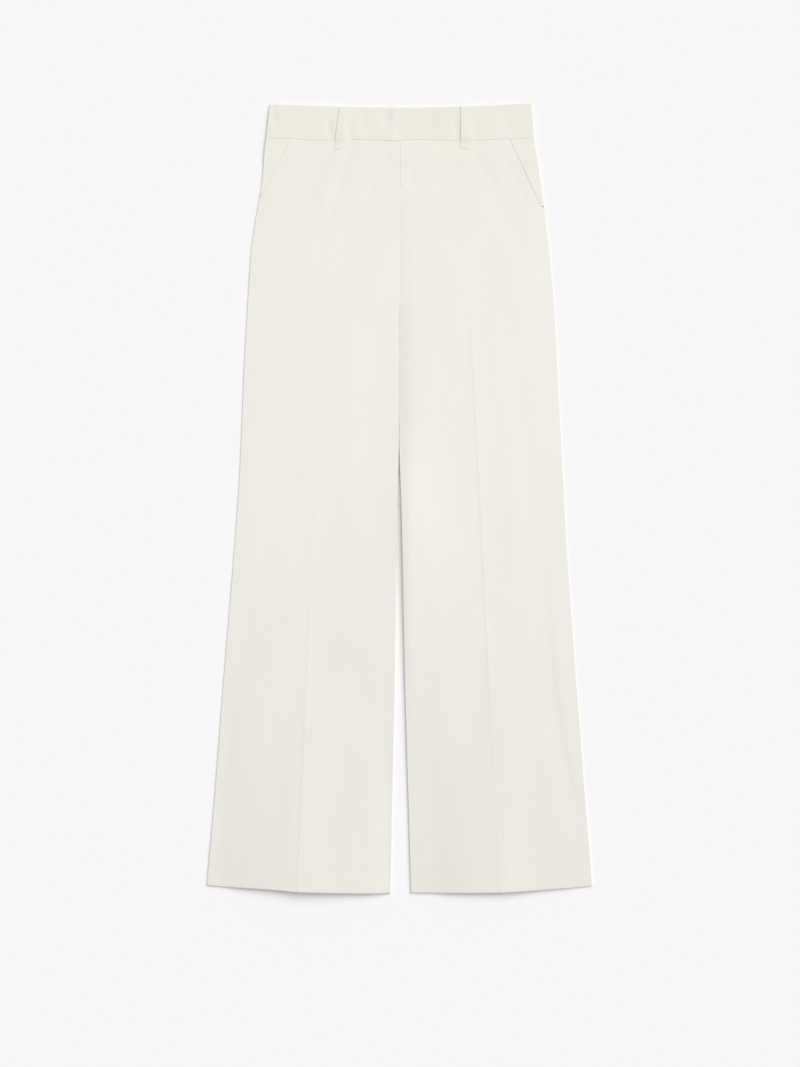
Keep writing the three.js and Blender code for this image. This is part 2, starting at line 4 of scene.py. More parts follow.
import bpy
import numpy as np
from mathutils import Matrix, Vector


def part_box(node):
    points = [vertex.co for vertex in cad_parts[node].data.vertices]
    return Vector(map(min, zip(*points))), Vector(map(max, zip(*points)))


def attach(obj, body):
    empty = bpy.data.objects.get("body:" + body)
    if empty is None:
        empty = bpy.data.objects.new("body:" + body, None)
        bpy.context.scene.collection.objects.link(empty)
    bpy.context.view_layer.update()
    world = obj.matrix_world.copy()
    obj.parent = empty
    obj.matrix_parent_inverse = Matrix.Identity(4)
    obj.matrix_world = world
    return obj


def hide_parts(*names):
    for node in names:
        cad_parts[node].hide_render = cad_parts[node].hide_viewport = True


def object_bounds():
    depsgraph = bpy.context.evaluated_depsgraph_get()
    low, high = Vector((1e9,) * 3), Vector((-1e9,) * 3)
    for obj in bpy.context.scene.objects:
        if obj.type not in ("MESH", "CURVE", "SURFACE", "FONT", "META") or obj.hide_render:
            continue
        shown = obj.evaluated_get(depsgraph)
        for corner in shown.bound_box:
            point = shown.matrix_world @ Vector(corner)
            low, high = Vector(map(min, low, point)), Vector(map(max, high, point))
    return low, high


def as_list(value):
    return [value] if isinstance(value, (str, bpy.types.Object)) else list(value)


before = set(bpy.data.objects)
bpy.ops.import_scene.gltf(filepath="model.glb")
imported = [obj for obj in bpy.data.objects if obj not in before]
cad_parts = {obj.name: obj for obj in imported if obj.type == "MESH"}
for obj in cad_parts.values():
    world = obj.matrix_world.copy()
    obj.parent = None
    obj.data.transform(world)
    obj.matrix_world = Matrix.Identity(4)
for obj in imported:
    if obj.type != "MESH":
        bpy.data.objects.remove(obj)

bl_info = {
    "name": "Wide-leg ribbed velvet trousers",
    "version": (1, 0, 0),
    "blender": (4, 5, 0),
    "location": "3D View > Sidebar > Trousers",
    "description": "Makes wide-leg trousers in ribbed velvet, laid flat, with the stage that they lie on",
    "category": "Object",
}

# ---------------------------------------------------------------- sizes, in metres
# The frame is seen from above: +X to the right, +Y to the waist, +Z up. Right and left in
# the names are the wearer's, so the right leg is on the -X side. "Down" is the distance
# below the top of the waistband.

BODY = "root"
FRAME_BOX = [list(corner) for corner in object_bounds()]
WAIST_Y = FRAME_BOX[1][1]
HEM_DOWN = WAIST_Y - FRAME_BOX[0][1]

# Seams, hems and the edges of the cloth.
SEAM_GAP = 0.0003       # between two pieces at a seam
SEAM_CLOSE = 0.0002     # how far the cloth closes a seam from one side
SEAM_RADIUS = 0.0002    # roll of a panel into a seam ditch
SEAM_DITCH = 0.12       # how far a front rolls down into the waist seam, in walls
SEAM_FOLLOW = 0.060     # how far below the waist seam the rows still follow its line
HEM_CLOTH = 0.0013      # the two pressed layers of a hem
HEM_TURN = 0.056        # depth of the turned-up hem
HEM_STEP = (0.006, 0.004)   # how far above and below its upper edge the hem gets thicker
HEM_DENT = 0.00008      # depth of the line that the hem's sewing leaves on the front
HEM_DENT_WIDTH = 0.0016     # how wide that line is
HEM_RADIUS = {"front": 0.0018, "back": 0.0012}  # roll of a leg panel's hem
HEM_EDGE = 0.75         # how far a front rolls down at its hem, in walls
BACK_EDGE = 0.80        # how far a back's outer face, which looks down, rolls up at its ends
HEM_FOLLOW = 0.110      # how far above a hem the rows follow its line
RIM_RADIUS = 0.0007     # roll of a panel where it turns under at a side
CUT_RADIUS = 0.0009     # roll of a free folded edge
CUT_WALL = 0.0003       # wall of a cut edge at its tip
CUT_SHARE = 0.25        # how far up its wall the outer face of a cut edge ends
FOLD_SHARE = 0.20       # the same for the folded edges of the waistband and the belt loops

# The lap of the right front over the left one, and the inner legs below it.
FLY_LAP = 0.012         # how far the right front lies over the left one
FLY_EDGE = 0.0007       # where the lapping edge lies across the garment
LAP_CLOTH = 0.0006      # the lapped edge of the right front, pressed thin
LAP_THIN = (-0.028, -0.011)     # across, where the right front thins to its lapped edge
LAP_FEATHER = 0.00048   # how much thinner still the lapped edge is at its very end
LAP_FEATHER_REACH = 0.0030      # how far in from that end it thins
LAP_REST = 0.00006      # between the lapped edge and the left front under it
LAP_STEP = 0.00006      # how near beside the lapped edge the left front rises into sight
LAP_LEAST = 0.0012      # how far the left front runs under the lap, at least, where it does
LAP_RADIUS = 0.00010    # roll of the lapped edge and of the seam below it
LAP_END = (0.282, 0.292)        # where the lap runs out, above the crotch
LEGS_PART = (0.475, 0.550)      # where the inner legs, side by side until there, come apart

# The slanted pocket mouths, and the bearers, which are the cloth seen inside them.
MOUTH_CLOTH = 0.0004    # the folded edge of a pocket mouth, pressed thin
MOUTH_PRESS = 0.004     # how far in from that edge the cloth is pressed
MOUTH_RADIUS = 0.0004   # roll of that edge
MOUTH_NOTCH = 0.0005    # how far it steps in at the grooves between the ribs
MOUTH_PAST = 0.0012     # how far a front runs on past its bearer before it turns under
MOUTH_JOIN = 0.0004     # how far below that the front's edge is out at the side
MOUTH_SHUT = 0.006      # over what length the front turns fully under below that
BEARER_CLOTH = 0.0006   # the cloth of a bearer
BEARER_STEP = 0.0001    # how far it lies below the front
BEARER_TUCK = 0.0115    # how far it runs under the front
BEARER_RISE = 0.0010    # how near beside the mouth it comes up into sight
BEARER_ROLL = 0.0006    # roll of its lower end
BEARER_EDGE = 0.20      # how far its ends roll down, in walls

# Each face of the cloth lies a little below its form, in ribs, so that the ribs keep to it.
# Above the knees the ribs keep a share of their height, and they gain the rest by the shins.
RIB_SINK = 0.6
RIB_ROUND = 0.6         # power of a rib's arch: the smaller, the flatter its top
RIB_PRESS = {"share": 0.45, "from": 0.66, "to": 0.95}

# A leg panel laid flat, at its widest, with its area. A bearer's width, how much longer it is
# than what lies in the mouth, and how much of its width it fills.
PANEL = {"size": (0.272, 1.064), "front_area": 0.250, "back_area": 0.252}
BEARER = {"width": 0.050, "longer": 0.004, "share": 0.6}


def table(names, rows):
    """A table with named columns, one row per level or place."""
    values = np.array(rows, float).T
    return {name: values[i] for i, name in enumerate(names.split())}


# Heights of the stack: its underside, the rim where front and back meet, the top beside a
# rolled side, and how much higher the top swells between the sides.
STACK = table("down lift rim side swell", [
    (0.046, 0.0015, 0.0025, 0.0042, 0.0005),
    (0.066, 0.0015, 0.0024, 0.0040, 0.0008),
    (0.096, 0.0000, 0.0012, 0.0030, 0.0015),
    (0.125, 0.0000, 0.0010, 0.0024, 0.0021),
    (0.165, 0.0000, 0.0009, 0.0021, 0.0026),
    (0.300, 0.0000, 0.0009, 0.0020, 0.0029),
    (0.450, 0.0000, 0.0009, 0.0020, 0.0028),
    (0.700, 0.0000, 0.0009, 0.0020, 0.0020),
    (0.880, 0.0000, 0.0010, 0.0021, 0.0018),
    (1.040, 0.0000, 0.0013, 0.0028, 0.0012),
    (1.112, 0.0000, 0.0014, 0.0031, 0.0005),
])
SWELL_REACH = 0.050         # how far in from a side the stack swells up

# The hems spring open at their creases: how far the front stands off there, across.
HEM_SPRING = {
    "right": table("across lift", [
        (-0.271, 0.0000), (-0.253, 0.0001), (-0.230, 0.0020), (-0.208, 0.0041), (-0.174, 0.0062),
        (-0.150, 0.0084), (-0.129, 0.0087), (-0.106, 0.0077), (-0.084, 0.0064), (-0.061, 0.0051),
        (-0.039, 0.0038), (-0.016, 0.0004)]),
    "left": table("across lift", [
        (0.016, 0.0000), (0.043, 0.0005), (0.054, 0.0014), (0.068, 0.0029), (0.082, 0.0040),
        (0.100, 0.0048), (0.118, 0.0055), (0.150, 0.0058), (0.170, 0.0045), (0.192, 0.0030),
        (0.212, 0.0017), (0.232, 0.0008), (0.250, 0.0000), (0.271, 0.0000)]),
}
HEM_SPRING_FROM = 0.800     # where the hems begin to rise, down the garment
HEM_SPRING_BEND = 1.3       # how suddenly they bend up
# The inseams stand up below the crotch, the left one most.
INSEAM = table("down rise", [
    (0.450, 0.0000), (0.500, 0.0020), (0.560, 0.0052), (0.620, 0.0064), (0.680, 0.0054),
    (0.740, 0.0038), (0.810, 0.0022), (0.880, 0.0010), (0.960, 0.0003), (1.060, 0.0000)])
INSEAM_REACH = 0.060        # how far in from the inseam they stand up
INSEAM_SHARE = {"right": 0.35, "left": 1.00}
# The left front falls away beside the lapped edge, the seam below it and its own inseam.
FLY_VALLEY = table("down depth reach", [
    (0.110, 0.0000, 0.012), (0.145, 0.0005, 0.014), (0.165, 0.0009, 0.015), (0.215, 0.0012, 0.017),
    (0.270, 0.0017, 0.020), (0.320, 0.0026, 0.024), (0.450, 0.0027, 0.024), (0.520, 0.0024, 0.020),
    (0.620, 0.0016, 0.012), (0.760, 0.0010, 0.010), (0.920, 0.0000, 0.010)])
FLY_VALLEY_BEND = 1.7       # how much steeper it falls near that edge

# The sewing pulls the waist seam down a little, unevenly across.
SEAM_SAG = table("across sag", [
    (-0.186, 0.0033), (-0.160, 0.0020), (-0.137, 0.0036), (-0.118, 0.0042), (-0.100, 0.0031),
    (-0.076, 0.0017), (-0.033, 0.0020), (-0.007, 0.0034), (0.017, 0.0022), (0.054, 0.0031),
    (0.068, 0.0045), (0.118, 0.0045), (0.135, 0.0036), (0.160, 0.0037), (0.180, 0.0030)])

# The pressed crease of each leg, across the garment, at the waist and at the hem.
CREASES = {"right": (-0.0949, -0.1431), "left": (0.0848, 0.1416)}
CREASE_FLANK = 0.0022       # how soon a crease falls off on its right
CREASE_EASE = {"right": 0.006, "left": 0.011}   # and, softly, on its left
# How sharply each crease is pressed, down the garment.
CREASE_PRESS = {
    "right": table("down press", [
        (0.280, 0.00), (0.450, 0.25), (0.690, 0.45), (0.820, 0.95), (1.000, 0.90), (1.111, 1.20)]),
    "left": table("down press", [
        (0.250, 0.00), (0.330, 0.60), (0.450, 1.00), (0.800, 1.00), (0.870, 0.60), (1.000, 0.40),
        (1.111, 0.90)]),
}

# The waistband: its height, the same with its uneven edges evened out, its underside, the rim
# where front and back meet and its top. The top falls off at the sides, within a reach. Its
# folded edges have a roll, and the cloth drops at the top edge and at the seam. Its sides turn
# under that fully. The columns of a front half are that far apart, counted from its middle.
BAND = {
    "height": 0.047, "mean_height": 0.046, "lift": 0.0015, "rim": 0.0030, "top": 0.0049,
    "fall": 0.0007, "reach": 0.040, "roll": 0.0003, "top_drop": 0.0014, "seam_drop": 0.0002,
    "turn": 0.75, "columns": 0.0013, "middle": 0.090}
BAND_CLOTH = 0.0015         # the waistband is folded double
# The back of it is a flat strip that starts a little lower. Its outer face, which looks down,
# comes up at the sides to meet the front's, and its inner face ends in a tuck.
BACK_BAND = {
    "lower": 0.0005, "roll": 0.0010, "under_drop": 0.0010, "top_drop": 0.0003, "side": 0.0019,
    "tuck": 0.0014, "columns": 0.0040}
# At the centre the right half rises over the left one, which sinks, and its end runs out thin.
# Then where, across, it begins to rise, to run out and to fall, and where the left half is level.
BAND_LAP = {
    "rise": 0.0004, "fall": 0.0004, "hollow": 0.0011, "feather": 0.0005, "from": -0.034,
    "feather_from": -0.004, "fall_from": -0.010, "level_at": 0.012}
LAP_BEND = 0.0004           # how near the lapped end the left half of the band comes up

# Soft dents of the fronts of the waistband: across, how far down the band, depth and
# half-width, and how the dent leans.
BAND_DENTS = table("x step depth width lean", [
    (-0.176, 0.30, 0.0007, 0.0070, 0.004),
    (-0.150, 0.60, 0.0004, 0.0110, -0.010),
    (-0.098, 0.75, 0.0008, 0.0050, 0.006),
    (-0.070, 0.75, 0.0008, 0.0050, -0.006),
    (-0.052, 0.35, 0.0006, 0.0100, 0.008),
    (-0.017, 0.30, 0.0010, 0.0070, -0.003),
    (0.046, 0.55, 0.0004, 0.0120, 0.010),
    (0.080, 0.70, 0.0006, 0.0050, 0.004),
    (0.106, 0.70, 0.0005, 0.0060, -0.004),
    (0.150, 0.45, 0.0005, 0.0120, 0.012),
])
DENT_REACH = 0.38           # how far up and down the band a dent reaches, in its heights

# Soft folds of the fronts, each from start through middle to end. Most are troughs pulled
# from the waist towards the sides; a minus depth makes a ridge. The skew is how many times
# wider a fold's left flank is than its right one.
FOLDS = table("x0 d0 x1 d1 x2 d2 depth width skew", [
    (-0.0965, 0.064, -0.1332, 0.142, -0.1610, 0.214, 0.00062, 0.0080, 1.0),
    (-0.0630, 0.062, -0.0850, 0.112, -0.1140, 0.216, 0.00062, 0.0080, 1.0),
    (-0.0240, 0.056, -0.0340, 0.108, -0.0600, 0.162, 0.00050, 0.0065, 1.0),
    (-0.1340, 0.062, -0.1560, 0.105, -0.1740, 0.150, 0.00042, 0.0060, 1.0),
    (-0.0430, 0.060, -0.0570, 0.112, -0.0800, 0.190, 0.00030, 0.0060, 1.0),
    (-0.0780, 0.070, -0.1040, 0.140, -0.1330, 0.230, -0.00025, 0.0090, 1.0),
    (-0.0170, 0.054, -0.0170, 0.070, -0.0190, 0.086, 0.00035, 0.0040, 1.0),
    (0.1160, 0.104, 0.1450, 0.153, 0.1930, 0.250, 0.00030, 0.0140, 1.0),
    (0.1000, 0.060, 0.1190, 0.092, 0.1370, 0.128, 0.00022, 0.0050, 1.0),
    (0.1400, 0.058, 0.1640, 0.106, 0.1910, 0.174, 0.00020, 0.0055, 1.0),
    (0.1240, 0.060, 0.1420, 0.104, 0.1660, 0.160, -0.00016, 0.0060, 1.0),
    (0.0190, 0.070, 0.0190, 0.100, 0.0195, 0.130, 0.00022, 0.0050, 1.0),
    (0.1560, 0.300, 0.1810, 0.500, 0.2080, 0.690, 0.00034, 0.0100, 2.0),
    (0.2035, 0.685, 0.2205, 0.860, 0.2490, 1.000, 0.00080, 0.0075, 2.6),
    (-0.1500, 0.340, -0.1850, 0.420, -0.2060, 0.560, 0.00030, 0.0180, 1.0),
    (-0.0900, 0.230, -0.0750, 0.310, -0.0700, 0.400, -0.00040, 0.0220, 1.0),
    (0.0620, 0.210, 0.0700, 0.320, 0.0740, 0.430, -0.00030, 0.0240, 1.0),
    (-0.1780, 0.240, -0.1720, 0.300, -0.1600, 0.360, 0.00030, 0.0150, 1.0),
    (-0.2140, 0.720, -0.2400, 0.900, -0.2570, 1.050, 0.00050, 0.0100, 1.0),
    (-0.0600, 0.560, -0.0680, 0.700, -0.0760, 0.860, -0.00025, 0.0180, 1.0),
    (0.0300, 0.560, 0.0330, 0.760, 0.0400, 0.960, 0.00030, 0.0120, 1.0),
    (0.0700, 0.900, 0.0620, 0.980, 0.0500, 1.060, 0.00025, 0.0120, 1.0),
])
# The slight unevenness between the folds: sizes across and down, seed and share.
RUMPLES = ((0.034, 0.110, 3, 0.6), (0.016, 0.045, 5, 0.3), (0.080, 0.060, 8, 0.4))
NOISE_CELLS = 64            # cells after which the unevenness repeats, each way
NOISE_START = (1000.3, 1000.7)      # the place among those cells that falls on the middle
FOLD_STEPS = 13             # points along a fold's path
FOLD_REACH = 3.2            # how far off that path a fold still shows, in widths
FOLD_TAPER = {"start": 0.06, "span": 0.90, "power": 0.7}    # how it fades at its two ends
FOLD_LIP = {"height": 0.14, "off": 1.75, "width": 0.8}      # the soft lip beside a trough
SOFT_REACH = 0.008          # how near a side the folds fade out

# The belt loops: half their width, how thick they are, how far they stand off, how long a
# share of them does, and how they come down over the waist seam. Then how much thinner the
# lower end is pressed and between which shares of the length, how much thinner the right edge
# is, how much narrower the lower end is and within what reach, how much of the strip is turned
# under, how much of its box it fills, and the rolls of its two ends and how far they drop.
# Last how fast it stands off, how far inside its ends its place across is read, and the level
# from which down it can lie on the leg.
LOOP = {
    "half": 0.0060, "cloth": 0.0008, "stand": 0.0002, "stand_end": 0.90, "seam": (0.001, 0.003),
    "thin": 0.0006, "thins": (0.62, 0.96), "tilt": 0.0002, "narrow_end": 0.0006,
    "end_reach": 0.005, "turned": 0.004, "share": 0.98, "rolls": (0.0009, 0.0012), "drop": 0.0002,
    "bend": 0.8, "margin": 0.001, "leg_from": 0.050}
LOOP_RADIUS = 0.0005        # roll of a belt loop's long edges
LOOP_NARROWING = {"right": 0.0015, "left": 0.0}     # how far its left edge leans in at its top
BACK_LOOP = {"roll": 0.0006, "drop": 0.0004}       # its ends' roll and how far they drop

# The fly's topstitching: how far from the centre, where it starts, turns and ends, how far it
# comes in, what share of it runs straight, and how many points its line has. Then the tacks
# of the belt loops, above each loop's lower end.
FLY_STITCHES = {
    "across": -0.034, "start": 0.052, "turn": 0.150, "end": 0.200, "inwards": 0.026,
    "straight": 0.62, "points": 60}
TACKS = (0.0030, 0.0042, 0.0556, 0.0568)
TACK_STITCH = 0.0011    # length of a tack's stitches
STITCH_FILL = 0.82      # share of its length that a stitch fills
TACK_INSET = 0.0012     # how far in from the loop's edges a tack starts
TACK_SINK = 0.0002      # how far it sinks into the pile
TACK_NEAR = 0.0012      # how near a tack the loop's own points are looked up

LAMP_FROM = (0.52, 0.64, 1.00)          # where the light comes from
CAMERA_SHIFT = (0.0007, -0.0493)        # where the camera stands, off the garment's middle


# ---------------------------------------------------------------- settings

class ClothSettings(bpy.types.PropertyGroup):
    """The velvet, its ribs and its sewing."""

    cloth: bpy.props.FloatProperty(
        name="Cloth", description="Thickness of one layer", default=0.0008, min=0.0005,
        subtype="DISTANCE", unit="LENGTH")
    rib_pitch: bpy.props.FloatProperty(
        name="Rib pitch", description="Distance from one rib to the next", default=0.0030,
        min=0.001, subtype="DISTANCE", unit="LENGTH")
    rib_height: bpy.props.FloatProperty(
        name="Rib height", description="How far a rib stands above its grooves",
        default=0.00010, min=0.0, subtype="DISTANCE", unit="LENGTH")
    crease_height: bpy.props.FloatProperty(
        name="Crease height", description="How far the pressed crease stands up",
        default=0.00056, min=0.0, subtype="DISTANCE", unit="LENGTH")
    fold_strength: bpy.props.FloatProperty(
        name="Fold strength", description="Share of the folds' full depth", default=0.95,
        min=0.0, max=2.0, subtype="FACTOR")
    rumple: bpy.props.FloatProperty(
        name="Rumple", description="Height of the cloth's slight unevenness", default=0.00015,
        min=0.0, subtype="DISTANCE", unit="LENGTH")
    stitch_length: bpy.props.FloatProperty(
        name="Stitch length", description="Distance from one stitch to the next",
        default=0.0030, min=0.001, subtype="DISTANCE", unit="LENGTH")
    thread: bpy.props.FloatProperty(
        name="Thread", description="Diameter of the sewing thread", default=0.00050,
        min=0.0001, subtype="DISTANCE", unit="LENGTH")
    velvet_colour: bpy.props.FloatVectorProperty(
        name="Velvet", description="Colour of the pile on the ribs", subtype="COLOR", size=3,
        default=(0.840, 0.825, 0.770), min=0.0, max=1.0)
    # The ground between the ribs is darker: partly its own tone, partly painted shade in the grooves.
    groove_colour_and_shade: bpy.props.FloatVectorProperty(
        name="Grooves", description="Colour of the ground between the ribs", subtype="COLOR",
        size=3, default=(0.834, 0.817, 0.758), min=0.0, max=1.0)
    thread_colour: bpy.props.FloatVectorProperty(
        name="Thread", description="Colour of the sewing thread", subtype="COLOR", size=3,
        default=(0.800, 0.780, 0.710), min=0.0, max=1.0)


class StageSettings(bpy.types.PropertyGroup):
    """The surface, the lights and the camera."""

    surface_colour: bpy.props.FloatVectorProperty(
        name="Surface", description="Colour of the surface that the garment lies on",
        subtype="COLOR", size=3, default=(0.90, 0.90, 0.90), min=0.0, max=1.0)
    surface_size: bpy.props.FloatProperty(
        name="Surface size", description="Width of the surface", default=14.0, min=2.0,
        subtype="DISTANCE", unit="LENGTH")
    room_light: bpy.props.FloatProperty(
        name="Room light", description="Strength of the even light from all round",
        default=0.44, min=0.0)
    lamp_light: bpy.props.FloatProperty(
        name="Lamp light", description="Strength of the soft lamp at the upper right",
        default=2.42, min=0.0)
    lamp_softness: bpy.props.FloatProperty(
        name="Lamp softness", description="Angle that the lamp fills", default=math.radians(58),
        min=0.0, max=math.pi, subtype="ANGLE", unit="ROTATION")
    camera_height: bpy.props.FloatProperty(
        name="Camera height", description="Height of the camera above the surface",
        default=3.0, min=1.0, subtype="DISTANCE", unit="LENGTH")
    view_length: bpy.props.FloatProperty(
        name="View length", description="Length of the surface that the view takes in",
        default=1.503, min=0.5, subtype="DISTANCE", unit="LENGTH")


def cloth_settings():
    return bpy.context.scene.trousers_cloth


# ---------------------------------------------------------------- reading the frame

def read(rows, key, column, place):
    """A column of a table at one place or several, along a curve that never overshoots."""
    keys, values = rows[key], rows[column]
    slopes = np.diff(values) / np.diff(keys)
    before, after = slopes[:-1], slopes[1:]
    with np.errstate(divide="ignore", invalid="ignore"):
        middle = np.where(before * after > 0, 2 * before * after / (before + after), 0.0)
    tangents = np.concatenate([slopes[:1], middle, slopes[-1:]])
    place = np.clip(np.asarray(place, float), keys[0], keys[-1])
    i = np.clip(np.searchsorted(keys, place, side="right") - 1, 0, len(keys) - 2)
    span = keys[i + 1] - keys[i]
    t = (place - keys[i]) / span
    return ((2 * t**3 - 3 * t**2 + 1) * values[i] + (t**3 - 2 * t**2 + t) * span * tangents[i]
            + (3 * t**2 - 2 * t**3) * values[i + 1] + (t**3 - t**2) * span * tangents[i + 1])


def stack(column, down):
    return read(STACK, "down", column, down)


def ease(value, start, end):
    """0 before start, 1 after end, smooth between."""
    t = np.clip((value - start) / (end - start), 0.0, 1.0)
    return t * t * (3 - 2 * t)


class Limits:
    """The two edges of a CAD node along one axis, at any level of the other axis."""

    slope_step = 0.006

    def __init__(self, node, level_axis, samples=500, margin=0.0006):
        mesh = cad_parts[node].data
        points = np.array([v.co for v in mesh.vertices], float)
        edges = np.array([e.vertices for e in mesh.edges], int)
        level, reach = points[:, level_axis], points[:, 1 - level_axis]
        self.levels = np.linspace(level.min() + margin, level.max() - margin, samples)
        low, high = [], []
        a, b = edges[:, 0], edges[:, 1]
        for at in self.levels:
            crossing = (level[a] - at) * (level[b] - at) < 0
            p, q = a[crossing], b[crossing]
            t = (at - level[p]) / (level[q] - level[p])
            places = reach[p] + t * (reach[q] - reach[p])
            low.append(places.min())
            high.append(places.max())
        self.low, self.high = np.array(low), np.array(high)

    def at(self, which, level, inside=None):
        """An edge at a level. Beyond the levels given as inside it runs on straight."""
        first, last = inside or (self.levels[0], self.levels[-1])
        edge = partial(np.interp, xp=self.levels, fp=self.low if which == "low" else self.high)
        start_slope = (edge(first + self.slope_step) - edge(first)) / self.slope_step
        end_slope = (edge(last) - edge(last - self.slope_step)) / self.slope_step
        return (edge(np.clip(level, first, last)) + np.minimum(level - first, 0) * start_slope
                + np.maximum(level - last, 0) * end_slope)


class Side:
    """One half of the garment, with its outline read from the frame."""

    # A straight cut across meets the whole of a leg panel that far from its two ends, and the
    # whole of the waistband between those levels. A hem's outer corner is that much higher.
    # The hem and the top of the band are read that far in from their corners.
    leg_cuts = (0.0530, 0.0145)
    band_cuts = (0.0070, 0.0430)
    hem_corner = 0.011
    hem_margin = 0.0035
    top_margin = 0.0020

    def __init__(self, name):
        self.name = name
        self.sign = -1 if name == "right" else 1
        self.outer_edge, self.inner_edge = ("low", "high") if name == "right" else ("high", "low")
        self.front = Limits(f"front_{name}", 1)
        self.back = Limits(f"back_{name}", 1)
        self.front_ends = Limits(f"front_{name}", 0)
        self.band_ends = Limits(f"waistband_front_{name}", 0)
        self.band_sides = Limits(f"waistband_front_{name}", 1)
        self.mouth_down = WAIST_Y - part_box(f"pocket_bearer_{name}")[0].y + MOUTH_PAST
        self.seam_down = WAIST_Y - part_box(f"front_{name}")[1].y
        self.whole = (WAIST_Y - HEM_DOWN + self.leg_cuts[1], WAIST_Y - self.leg_cuts[0])
        self.band_whole = (WAIST_Y - self.band_cuts[1], WAIST_Y - self.band_cuts[0])
        corner = self.side_line(HEM_DOWN - self.hem_corner)
        self.hem_reach = self.between(corner, self.front_inner(HEM_DOWN), self.hem_margin)
        self.top_reach = self.between(self.band_side(self.top_margin), 0.0, self.top_margin)

    def between(self, outer, inner, margin):
        """The two edges given, in order across, each moved in by the margin."""
        low, high = sorted((float(outer), float(inner)))
        return low + margin, high - margin

    def crease(self, down):
        return CREASES[self.name][0] + self.lean() * down

    def lean(self):
        """How far a rib moves across for each metre down the garment."""
        waist, hem = CREASES[self.name]
        return (hem - waist) / HEM_DOWN

    def side_line(self, down):
        return self.back.at(self.outer_edge, WAIST_Y - down, self.whole)

    def front_outer(self, down):
        return self.front.at(self.outer_edge, WAIST_Y - down, self.whole)

    def front_inner(self, down):
        return self.front.at(self.inner_edge, WAIST_Y - down, self.whole)

    def back_inner(self, down):
        return self.back.at(self.inner_edge, WAIST_Y - down, self.whole)

    def band_side(self, down):
        return self.band_sides.at(self.outer_edge, WAIST_Y - down, self.band_whole)

    def hem_line(self, x):
        return WAIST_Y - self.front_ends.at("low", x, self.hem_reach)

    def seam_line(self, x):
        return WAIST_Y - self.band_ends.at("low", x) + SEAM_GAP + read(SEAM_SAG, "across", "sag", x)

    def band_top_line(self, x):
        return WAIST_Y - self.band_ends.at("high", x, self.top_reach)

    def level(self, down, x):
        """A level moved so that the first row follows the waist seam and the last the hem."""
        near_seam = 1 - ease(down, self.seam_down, self.seam_down + SEAM_FOLLOW)
        near_hem = ease(down, HEM_DOWN - HEM_FOLLOW, HEM_DOWN)
        return (down + near_seam * (self.seam_line(x) - self.seam_down)
                + near_hem * (self.hem_line(x) - HEM_DOWN))

    def band_level(self, x, step, lower=0.0):
        """A level of the waistband, whose step is from 0 at its top to 1 at its seam. lower moves
        the top down."""
        top, seam = self.band_top_line(x) + lower, self.seam_line(x) - SEAM_GAP
        return top + (seam - top) * step

    def edge(self, line, down):
        """Where a row of a panel meets one of its side lines."""
        x = line(down)
        for _ in range(3):
            x = line(self.level(down, x))
        return float(x)


def both_sides():
    return [Side(name) for name in ("right", "left")]


# ---------------------------------------------------------------- the shape of the cloth

def layer(down):
    """Thickness of a leg panel's wall: one layer, or two in the turned-up hem."""
    edge = HEM_DOWN - HEM_TURN
    turned = ease(down, edge - HEM_STEP[0], edge + HEM_STEP[1])
    return cloth_settings().cloth * (1 - turned) + HEM_CLOTH * turned


def lap_covers(down):
    """How fully the fronts still lie on each other: 1 as long as one covers any of the other."""
    return 1 - ease(down, *LAP_END)


def lap_level(top, down):
    """Height of the right front where it lies over the left one."""
    settings = cloth_settings()
    lowest = stack("lift", down) + 2 * settings.cloth + SEAM_GAP + 2 * LAP_REST + LAP_CLOTH
    return np.maximum(top, lowest)


def lap_feather(x, down):
    """How much of the lapped edge's thickness runs out towards its end."""
    return LAP_FEATHER * lap_covers(down) * ease(x, FLY_EDGE - LAP_FEATHER_REACH, FLY_EDGE)


def soft_noise(x, y, size_x, size_y, seed):
    """Smooth unevenness from -1 to 1, the same each time, that varies over the given sizes."""
    cells = NOISE_CELLS
    grid = np.random.default_rng(seed).uniform(-1, 1, (cells, cells))
    u, v = x / size_x + NOISE_START[0], y / size_y + NOISE_START[1]
    i, j = np.floor(u).astype(int), np.floor(v).astype(int)
    s, t = u - i, v - j
    s, t = s * s * (3 - 2 * s), t * t * (3 - 2 * t)

    def row(b):
        near, far = grid[i % cells, (j + b) % cells], grid[(i + 1) % cells, (j + b) % cells]
        return near * (1 - s) + far * s

    return row(0) * (1 - t) + row(1) * t


def rumple(x, down):
    """The slight unevenness of cloth laid flat, longer along the legs than across."""
    return sum(
        soft_noise(x, down, across, along, seed) * share for across, along, seed, share in RUMPLES)


